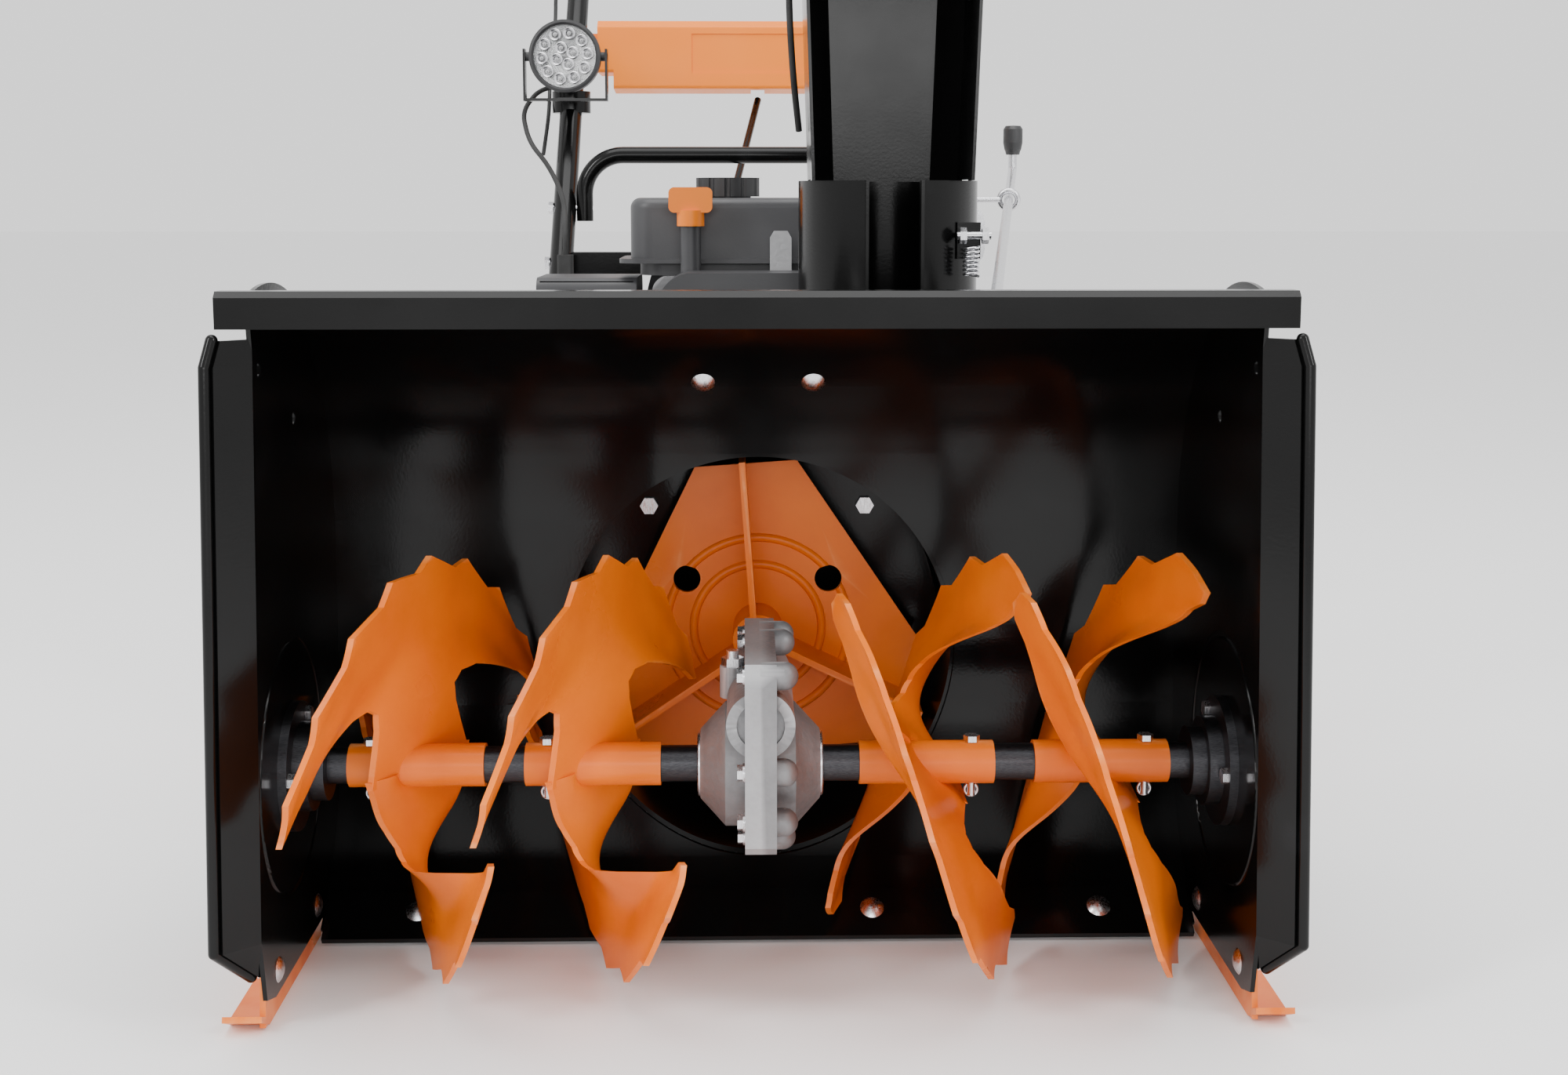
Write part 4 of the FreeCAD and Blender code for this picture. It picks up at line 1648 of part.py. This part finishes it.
def all_nodes():
    """Every node of the model by name."""
    plate = side_plate()
    outer, inner = TUBE_CENTRES[1], TUBE_CENTRES[0]
    nodes = {
        "auger_housing": auger_housing(),
        "side_plate_left": mirrored(plate),
        "side_plate_right": plate,
        "front_rail": front_rail(),
        "scraper_bar": scraper_bar(),
        "skid_shoes": both(skid_shoe()),
        "impeller_drum": impeller_drum(),
        "bearings": both(auger_bearing()) + [impeller_bearing()] + axle_bushes(),
        "carriage_bolts": housing_bolts(),
        "hex_bolts": hex_bolts(),
        "gearbox_case_left": gearbox_half(-1),
        "gearbox_case_right": gearbox_half(1),
        "chassis": chassis(),
        "belt_cover": belt_cover(),
        "drive_belts": [belt_loop(PULLEY_DEPTH, IMPELLER_AXIS_Z, IMPELLER_PULLEY_RADIUS,
                                  ENGINE_AXIS_Z, ENGINE_PULLEY_RADIUS),
                        belt_loop(DRIVE_PULLEY_DEPTH, DISC_AXIS_Z, DRIVE_PULLEY_RADIUS,
                                  ENGINE_AXIS_Z, ENGINE_PULLEY_RADIUS)],
        "engine_block": engine_block(),
        "recoil_cover": recoil_cover(),
        "heater_box": heater_box(),
        "fuel_tank": fuel_tank(),
        "muffler": muffler(),
        "oil_filler_tube": oil_filler_tube(),
        "handlebars": [handle_bar(-1.0), handle_bar(1.0)],
        "handle_bracket": handle_bracket(),
        "cross_brace": cross_brace(),
        "control_panel": control_panel(),
        "handle_grips": [grip(-1.0), grip(1.0)],
        "lever_brackets": [lever_bracket(-1.0), lever_bracket(1.0)],
        "crank_supports": [eye_bolt(), worm_bracket()],
        "lamp_bracket": lamp_bracket(),
        "cables": [lamp_lead(), lead_plug(), clutch_cable(-1.0), clutch_cable(1.0)],
        "shift_rod": shift_rod(),
        "auger_shaft": auger_shaft(),
        "auger_outer_left": auger_section(-1, outer, 80.0),
        "auger_inner_left": auger_section(-1, inner, 80.0),
        "auger_inner_right": auger_section(1, inner, -15.0),
        "auger_outer_right": auger_section(1, outer, -15.0),
        "worm_wheel": worm_wheel(),
        "shear_pins": shear_pins(),
        "impeller_shaft": impeller_shaft(),
        "impeller_fan": impeller_fan(),
        "crankshaft": crankshaft(),
        "drive_disc": drive_disc(),
        "friction_drive": [cross_shaft(), friction_wheel()],
        "wheel_axle": wheel_axle(),
        "wheel_rims": both(rim()),
        "tyres": both(tyre()),
        "chute_lower": chute_lower(),
        "chute_hardware": deflector_pivots() + [chute_clamp(), chute_spring()],
        "deflector_cable": deflector_cable(),
        "chute_deflector": chute_deflector(),
        "crank_rod": crank_rod(),
        "crank_knob": crank_knob(),
        "clutch_lever_left": clutch_lever(-1.0),
        "clutch_lever_right": clutch_lever(1.0),
        "shift_lever": shift_lever(),
        "lamp_housing": lamp_housing(),
        "lamp_lens": lamp_lens(),
        "fuel_cap": fuel_cap(),
        "oil_cap": oil_cap(),
        "starter_grip": starter_grip(),
    }
    return nodes


os.makedirs("parts", exist_ok=True)
for node_name, node_shape in all_nodes().items():
    export(node_name, node_shape)
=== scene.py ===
import bpy
import bmesh
import json
import math
from mathutils import Matrix, Vector


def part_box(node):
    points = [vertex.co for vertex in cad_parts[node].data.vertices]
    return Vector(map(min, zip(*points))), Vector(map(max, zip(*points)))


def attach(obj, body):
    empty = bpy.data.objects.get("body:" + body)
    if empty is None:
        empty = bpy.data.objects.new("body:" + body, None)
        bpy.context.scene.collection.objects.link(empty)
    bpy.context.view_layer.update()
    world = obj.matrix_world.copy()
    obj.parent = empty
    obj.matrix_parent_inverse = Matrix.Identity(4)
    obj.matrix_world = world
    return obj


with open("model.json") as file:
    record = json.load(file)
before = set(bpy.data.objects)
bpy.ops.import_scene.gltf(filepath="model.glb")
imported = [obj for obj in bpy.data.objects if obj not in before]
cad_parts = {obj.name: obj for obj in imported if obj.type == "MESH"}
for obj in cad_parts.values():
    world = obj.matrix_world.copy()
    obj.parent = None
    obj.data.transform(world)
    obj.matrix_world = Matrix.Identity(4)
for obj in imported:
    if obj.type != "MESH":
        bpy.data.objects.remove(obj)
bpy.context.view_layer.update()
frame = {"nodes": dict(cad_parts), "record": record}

# Camera: places in metres, with the distance taken from the front of the side plates, angles in
# degrees, and the shift as a share of the frame's width.
FRONT_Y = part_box("side_plate_right")[0][1]
FOCAL_MM = 43.2
SENSOR_WIDTH_MM = 36.0
CAMERA_X = -0.010
CAMERA_HEIGHT = 0.546
CAMERA_DISTANCE = 1.157
CAMERA_PITCH = 7.5
CAMERA_YAW = 1.2
CAMERA_SHIFT = -0.058

# Studio: name, place, point aimed at, width, height and power of each area light.
WHITE = (1.0, 1.0, 1.0, 1.0)
WORLD_STRENGTH = 1.35
HOUSING_MOUTH = (0.0, -0.5, 0.3)
AREA_LIGHTS = [
    ("key_left", (-2.6, -2.6, 2.4), HOUSING_MOUTH, 0.7, 1.6, 60.0),
    ("key_right", (2.6, -2.4, 2.2), HOUSING_MOUTH, 0.6, 1.6, 45.0),
    ("top", (0.0, -0.6, 3.2), (0.0, -0.2, 0.0), 2.6, 2.0, 70.0),
    ("fill_low", (0.0, -3.4, 0.9), HOUSING_MOUTH, 1.6, 0.5, 14.0),
]
FLOOR_REACH = 30.0
FLOOR_GREY = 0.93
FLOOR_ROUGHNESS = 0.9

# The middle part of a noise texture's range, which spread() stretches over a roughness range.
NOISE_LOW = 0.3
NOISE_HIGH = 0.7

# Detail pieces, in metres. A profile is a list of (radius, height) points.
SMOOTH_ANGLE = 35.0
LED_RINGS = [(4, 0.0095, 0.4), (10, 0.0250, 0.1)]
CUP_PROFILE = [(0.0036, 0.0), (0.0066, 0.0), (0.0066, 0.0012), (0.0058, 0.0018), (0.0050, 0.0012)]
CUP_STEPS = 20
CHIP_PROFILE = [(0.0004, 0.0), (0.0024, 0.0), (0.0022, 0.0012), (0.0004, 0.0018)]
CHIP_STEPS = 14
SEAL_PROFILE = [(0.0131, 0.0), (0.0225, 0.0), (0.0225, 0.0012), (0.0210, 0.0020), (0.0131, 0.0020)]
SEAL_STEPS = 48
BRACKET_FROM_TANK_END = 0.144
BRACKET_GAP = 0.014
BRACKET_DROP = 0.006
BRACKET_THICKNESS = 0.002
BRACKET_OUTLINE = [(-0.0095, 0.0), (0.0095, 0.0), (0.0095, 0.040), (0.0060, 0.046),
                   (-0.0060, 0.046), (-0.0095, 0.040)]


# ------------------------------------------------------------------ camera, light, stage
def add_camera():
    data = bpy.data.cameras.new("camera")
    data.lens = FOCAL_MM
    data.sensor_width = SENSOR_WIDTH_MM
    data.shift_y = CAMERA_SHIFT
    camera = bpy.data.objects.new("camera", data)
    camera.location = (CAMERA_X, FRONT_Y - CAMERA_DISTANCE, CAMERA_HEIGHT)
    camera.rotation_euler = (math.radians(90.0 - CAMERA_PITCH), 0.0, math.radians(-CAMERA_YAW))
    bpy.context.collection.objects.link(camera)
    bpy.context.scene.camera = camera


def add_area_light(name, location, target, width, height, power):
    data = bpy.data.lights.new(name, "AREA")
    data.shape = "RECTANGLE"
    data.size = width
    data.size_y = height
    data.energy = power
    light = bpy.data.objects.new(name, data)
    light.location = location
    direction = Vector(target) - Vector(location)
    light.rotation_euler = direction.to_track_quat("-Z", "Y").to_euler()
    bpy.context.collection.objects.link(light)


def add_lights():
    world = bpy.data.worlds.new("studio")
    world.use_nodes = True
    background = world.node_tree.nodes["Background"]
    background.inputs["Color"].default_value = WHITE
    background.inputs["Strength"].default_value = WORLD_STRENGTH
    bpy.context.scene.world = world
    for light in AREA_LIGHTS:
        add_area_light(*light)


def add_floor():
    mesh = bpy.data.meshes.new("floor")
    reach = FLOOR_REACH
    corners = [(-reach, -reach, 0.0), (reach, -reach, 0.0), (reach, reach, 0.0), (-reach, reach, 0.0)]
    mesh.from_pydata(corners, [], [(0, 1, 2, 3)])
    floor = bpy.data.objects.new("floor", mesh)
    bpy.context.collection.objects.link(floor)
    material = bpy.data.materials.new("floor_white")
    material.use_nodes = True
    shader = material.node_tree.nodes["Principled BSDF"]
    shader.inputs["Base Color"].default_value = (FLOOR_GREY, FLOOR_GREY, FLOOR_GREY, 1.0)
    shader.inputs["Roughness"].default_value = FLOOR_ROUGHNESS
    mesh.materials.append(material)


# ------------------------------------------------------------------ materials
class Surface:
    """Principled material with small helpers for procedural detail."""

    def __init__(self, name):
        self.material = bpy.data.materials.new(name)
        self.material.use_nodes = True
        self.tree = self.material.node_tree
        self.shader = self.tree.nodes["Principled BSDF"]
        self.coords = self.tree.nodes.new("ShaderNodeTexCoord").outputs["Object"]

    def set(self, **values):
        """Fixed values on the shader's own sockets, named with _ for each space."""
        for name, value in values.items():
            self.shader.inputs[name.replace("_", " ")].default_value = value
        return self

    def noise(self, scale, detail=4.0, stretch=None):
        """Noise in object space, drawn out along an axis where stretch is given."""
        node = self.tree.nodes.new("ShaderNodeTexNoise")
        node.inputs["Scale"].default_value = scale
        node.inputs["Detail"].default_value = detail
        source = self.coords
        if stretch:
            mapping = self.tree.nodes.new("ShaderNodeMapping")
            mapping.inputs["Scale"].default_value = stretch
            self.tree.links.new(source, mapping.inputs["Vector"])
            source = mapping.outputs["Vector"]
        self.tree.links.new(source, node.inputs["Vector"])
        return node.outputs["Fac"]

    def ramp(self, value, stops):
        """Colour of a value, from (position, colour) stops."""
        node = self.tree.nodes.new("ShaderNodeValToRGB")
        elements = node.color_ramp.elements
        while len(elements) < len(stops):
            elements.new(0.5)
        for element, (position, colour) in zip(elements, stops):
            element.position = position
            element.color = tuple(colour) + (1.0,)
        self.tree.links.new(value, node.inputs["Fac"])
        return node.outputs["Color"]

    def spread(self, value, low, high):
        """The middle of a noise's range stretched over low to high."""
        node = self.tree.nodes.new("ShaderNodeMapRange")
        node.inputs["From Min"].default_value = NOISE_LOW
        node.inputs["From Max"].default_value = NOISE_HIGH
        node.inputs["To Min"].default_value = low
        node.inputs["To Max"].default_value = high
        self.tree.links.new(value, node.inputs["Value"])
        return node.outputs["Result"]

    def mix(self, factor, first, second):
        """Blend from first to second, each a colour or a socket."""
        node = self.tree.nodes.new("ShaderNodeMix")
        node.data_type = "RGBA"
        self.tree.links.new(factor, node.inputs["Factor"])
        for socket, colour in ((node.inputs[6], first), (node.inputs[7], second)):
            if isinstance(colour, tuple):
                socket.default_value = colour + (1.0,)
            else:
                self.tree.links.new(colour, socket)
        return node.outputs[2]

    def edge(self, low, high):
        """One along convex edges, zero on flat faces."""
        geometry = self.tree.nodes.new("ShaderNodeNewGeometry")
        node = self.tree.nodes.new("ShaderNodeMapRange")
        node.inputs["From Min"].default_value = low
        node.inputs["From Max"].default_value = high
        self.tree.links.new(geometry.outputs["Pointiness"], node.inputs["Value"])
        return node.outputs["Result"]

    def times(self, first, second):
        """Product of two values, each a float or a socket."""
        node = self.tree.nodes.new("ShaderNodeMath")
        node.operation = "MULTIPLY"
        for socket, value in zip(node.inputs, (first, second)):
            if isinstance(value, float):
                socket.default_value = value
            else:
                self.tree.links.new(value, socket)
        return node.outputs["Value"]

    def colour(self, value):
        self.tree.links.new(value, self.shader.inputs["Base Color"])
        return self

    def roughness(self, value):
        self.tree.links.new(value, self.shader.inputs["Roughness"])
        return self

    def bump(self, height, strength, distance):
        node = self.tree.nodes.new("ShaderNodeBump")
        node.inputs["Strength"].default_value = strength
        node.inputs["Distance"].default_value = distance
        self.tree.links.new(height, node.inputs["Height"])
        self.tree.links.new(node.outputs["Normal"], self.shader.inputs["Normal"])
        return self


def black_enamel():
    s = Surface("black_enamel").set(Specular_IOR_Level=0.22)
    scuffs = s.ramp(s.noise(18.0, 8.0), [(0.0, (0.002, 0.002, 0.002)), (0.62, (0.003, 0.003, 0.003)),
                                         (0.8, (0.009, 0.009, 0.010))])
    s.colour(scuffs)
    s.roughness(s.spread(s.noise(7.0, 6.0), 0.10, 0.24))
    return s.bump(s.noise(420.0, 2.0), 0.06, 0.0006).material


def orange_enamel():
    s = Surface("orange_enamel").set(Specular_IOR_Level=0.3)
    paint = s.ramp(s.noise(14.0, 6.0), [(0.25, (0.66, 0.120, 0.0)), (0.55, (0.78, 0.155, 0.0)),
                                        (0.85, (0.86, 0.190, 0.002))])
    # Painted highlight: convex edges are lightened towards a pale orange, broken up by noise.
    edge_highlight = s.times(s.edge(0.56, 0.66), s.spread(s.noise(60.0, 5.0), 0.0, 0.8))
    s.colour(s.mix(edge_highlight, paint, (0.95, 0.42, 0.16)))
    s.roughness(s.spread(s.noise(9.0, 6.0), 0.24, 0.42))
    return s.bump(s.noise(300.0, 2.0), 0.08, 0.0006).material


def orange_plastic():
    s = Surface("orange_plastic").set(Specular_IOR_Level=0.3)
    s.colour(s.ramp(s.noise(6.0, 3.0), [(0.3, (0.88, 0.20, 0.004)), (0.8, (0.93, 0.24, 0.012))]))
    s.roughness(s.spread(s.noise(20.0, 5.0), 0.34, 0.46))
    return s.bump(s.noise(900.0, 2.0), 0.10, 0.0004).material


def cast_alloy():
    s = Surface("cast_alloy").set(Metallic=0.55)
    grain = s.noise(260.0, 6.0)
    tone = s.ramp(s.noise(24.0, 6.0), [(0.3, (0.17, 0.17, 0.175)), (0.7, (0.26, 0.26, 0.265))])
    # Painted highlight: convex edges are lightened evenly towards a pale grey.
    edge_highlight = s.times(s.edge(0.54, 0.62), 0.7)
    s.colour(s.mix(edge_highlight, tone, (0.5, 0.5, 0.51)))
    s.roughness(s.spread(grain, 0.42, 0.62))
    return s.bump(grain, 0.35, 0.0008).material


def steel(name, dark, light, low, high, stretch):
    """Brushed metal between two tones, with its roughness from low to high."""
    s = Surface(name).set(Metallic=1.0)
    brushed = s.noise(80.0, 6.0, stretch)
    s.colour(s.ramp(brushed, [(0.3, dark), (0.7, light)]))
    s.roughness(s.spread(s.noise(40.0, 5.0, stretch), low, high))
    return s.bump(brushed, 0.12, 0.0004).material


def dark_steel():
    return steel("dark_steel", (0.030, 0.030, 0.034), (0.075, 0.075, 0.08), 0.3, 0.46, (4.0, 40.0, 40.0))


def bright_steel():
    return steel("bright_steel", (0.55, 0.55, 0.57), (0.82, 0.82, 0.84), 0.2, 0.38, (20.0, 20.0, 4.0))


def black_engine():
    s = Surface("engine_black")
    s.colour(s.ramp(s.noise(10.0, 6.0), [(0.3, (0.030, 0.030, 0.033)), (0.75, (0.055, 0.055, 0.058))]))
    s.roughness(s.spread(s.noise(16.0, 6.0), 0.34, 0.50))
    return s.bump(s.noise(500.0, 3.0), 0.12, 0.0005).material


def black_plastic():
    s = Surface("black_plastic")
    s.colour(s.ramp(s.noise(30.0, 5.0), [(0.3, (0.016, 0.016, 0.017)), (0.8, (0.034, 0.034, 0.036))]))
    s.roughness(s.spread(s.noise(50.0, 4.0), 0.40, 0.56))
    return s.bump(s.noise(1100.0, 2.0), 0.25, 0.0004).material


def rubber(name, dusty):
    """Matt black rubber with patches of a dustier tone."""
    s = Surface(name)
    s.colour(s.ramp(s.noise(40.0, 8.0), [(0.35, (0.012, 0.012, 0.012)), (0.8, dusty)]))
    s.roughness(s.spread(s.noise(30.0, 6.0), 0.62, 0.85))
    return s.bump(s.noise(600.0, 4.0), 0.3, 0.0006).material


def bronze():
    s = Surface("bronze").set(Metallic=1.0)
    s.colour(s.ramp(s.noise(60.0, 5.0), [(0.3, (0.42, 0.24, 0.08)), (0.7, (0.60, 0.38, 0.15))]))
    s.roughness(s.spread(s.noise(90.0, 5.0), 0.28, 0.45))
    return s.bump(s.noise(300.0, 3.0), 0.1, 0.0004).material


def clear_lens():
    s = Surface("clear_lens").set(Transmission_Weight=0.9, IOR=1.49)
    s.colour(s.ramp(s.noise(20.0), [(0.3, (0.93, 0.94, 0.95)), (0.8, (0.98, 0.98, 0.98))]))
    s.roughness(s.spread(s.noise(60.0), 0.03, 0.09))
    return s.bump(s.noise(200.0), 0.05, 0.0003).material


MATERIALS = {
    "black_paint": black_enamel(),
    "orange_paint": orange_enamel(),
    "orange_plastic": orange_plastic(),
    "cast_grey": cast_alloy(),
    "dark_steel": dark_steel(),
    "bright_steel": bright_steel(),
    "engine_black": black_engine(),
    "black_plastic": black_plastic(),
    "rubber": rubber("rubber", (0.030, 0.030, 0.030)),
    "tyre": rubber("tyre_rubber", (0.050, 0.049, 0.047)),
    "bronze": bronze(),
    "lens": clear_lens(),
}


def dress_cad_nodes():
    """Give every CAD node the procedural material of its slot."""
    for part in frame["record"]["subparts"]:
        piece = frame["nodes"][part["node"]]
        material = MATERIALS[part["material_slot"]]
        if not piece.material_slots:
            piece.data.materials.append(material)
        for slot in piece.material_slots:
            slot.link = "OBJECT"
            slot.material = material


# ------------------------------------------------------------------ detail pieces
def new_piece(name, builder, slot, body):
    """Mesh piece filled by a bmesh builder, dressed from its slot and riding on a body."""
    mesh = bpy.data.meshes.new(name)
    shape = bmesh.new()
    builder(shape)
    bmesh.ops.recalc_face_normals(shape, faces=shape.faces)
    shape.to_mesh(mesh)
    shape.free()
    for polygon in mesh.polygons:
        polygon.use_smooth = True
    mesh.materials.append(MATERIALS[slot])
    piece = bpy.data.objects.new(name, mesh)
    bpy.context.collection.objects.link(piece)
    split = piece.modifiers.new("edges", "EDGE_SPLIT")
    split.split_angle = math.radians(SMOOTH_ANGLE)
    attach(piece, body)


def turned(shape, profile, centre, axis, steps):
    """Closed ring of revolution of a profile about an axis through centre."""
    turn = Vector((0.0, 0.0, 1.0)).rotation_difference(Vector(axis)).to_matrix().to_4x4()
    place = Matrix.Translation(centre) @ turn
    rings = []
    for k in range(steps):
        angle = 2.0 * math.pi * k / steps
        ring = []
        for radius, height in profile:
            local = Vector((radius * math.cos(angle), radius * math.sin(angle), height))
            ring.append(shape.verts.new(place @ local))
        rings.append(ring)
    count = len(profile)
    for k in range(steps):
        for j in range(count):
            corner = (rings[k][j], rings[k][(j + 1) % count])
            far = (rings[(k + 1) % steps][(j + 1) % count], rings[(k + 1) % steps][j])
            shape.faces.new(corner + far)


def middle(node):
    low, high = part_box(node)
    return (low + high) / 2.0


def lamp_cluster():
    """Reflector cups and chips of the work lamp, in two rings on the front of its lens."""
    centre = middle("lamp_lens")
    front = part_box("lamp_lens")[0].y
    places = []
    for count, radius, first_angle in LED_RINGS:
        for k in range(count):
            angle = first_angle + 2.0 * math.pi * k / count
            x = centre.x + radius * math.cos(angle)
            z = centre.z + radius * math.sin(angle)
            places.append(Vector((x, front, z)))

    def cups(shape):
        for place in places:
            turned(shape, CUP_PROFILE, place, (0, -1, 0), CUP_STEPS)

    def chips(shape):
        for place in places:
            turned(shape, CHIP_PROFILE, place, (0, -1, 0), CHIP_STEPS)

    new_piece("lamp_reflectors", cups, "bright_steel", "lamp")
    new_piece("lamp_chips", chips, "cast_grey", "lamp")


def gearbox_seals():
    """Bright seal rings where the auger shaft leaves the gearbox."""
    shaft = middle("auger_shaft")
    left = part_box("gearbox_case_left")[0].x
    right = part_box("gearbox_case_right")[1].x

    def rings(shape):
        turned(shape, SEAL_PROFILE, Vector((left, shaft.y, shaft.z)), (-1, 0, 0), SEAL_STEPS)
        turned(shape, SEAL_PROFILE, Vector((right, shaft.y, shaft.z)), (1, 0, 0), SEAL_STEPS)

    new_piece("gearbox_seals", rings, "bright_steel", "frame")


def tank_bracket():
    """Sheet bracket standing in front of the fuel tank beside the chute."""
    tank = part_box("fuel_tank")[0]
    x = tank.x + BRACKET_FROM_TANK_END
    front = tank.y - BRACKET_GAP
    back = front + BRACKET_THICKNESS
    base = tank.z - BRACKET_DROP

    def plate(shape):
        near = [shape.verts.new((x + px, front, base + pz)) for px, pz in BRACKET_OUTLINE]
        far = [shape.verts.new((x + px, back, base + pz)) for px, pz in BRACKET_OUTLINE]
        shape.faces.new(near)
        shape.faces.new(far[::-1])
        for k in range(len(near)):
            j = (k + 1) % len(near)
            shape.faces.new((near[k], near[j], far[j], far[k]))

    new_piece("tank_bracket", plate, "cast_grey", "frame")


add_camera()
add_lights()
add_floor()
dress_cad_nodes()
lamp_cluster()
gearbox_seals()
tank_bracket()
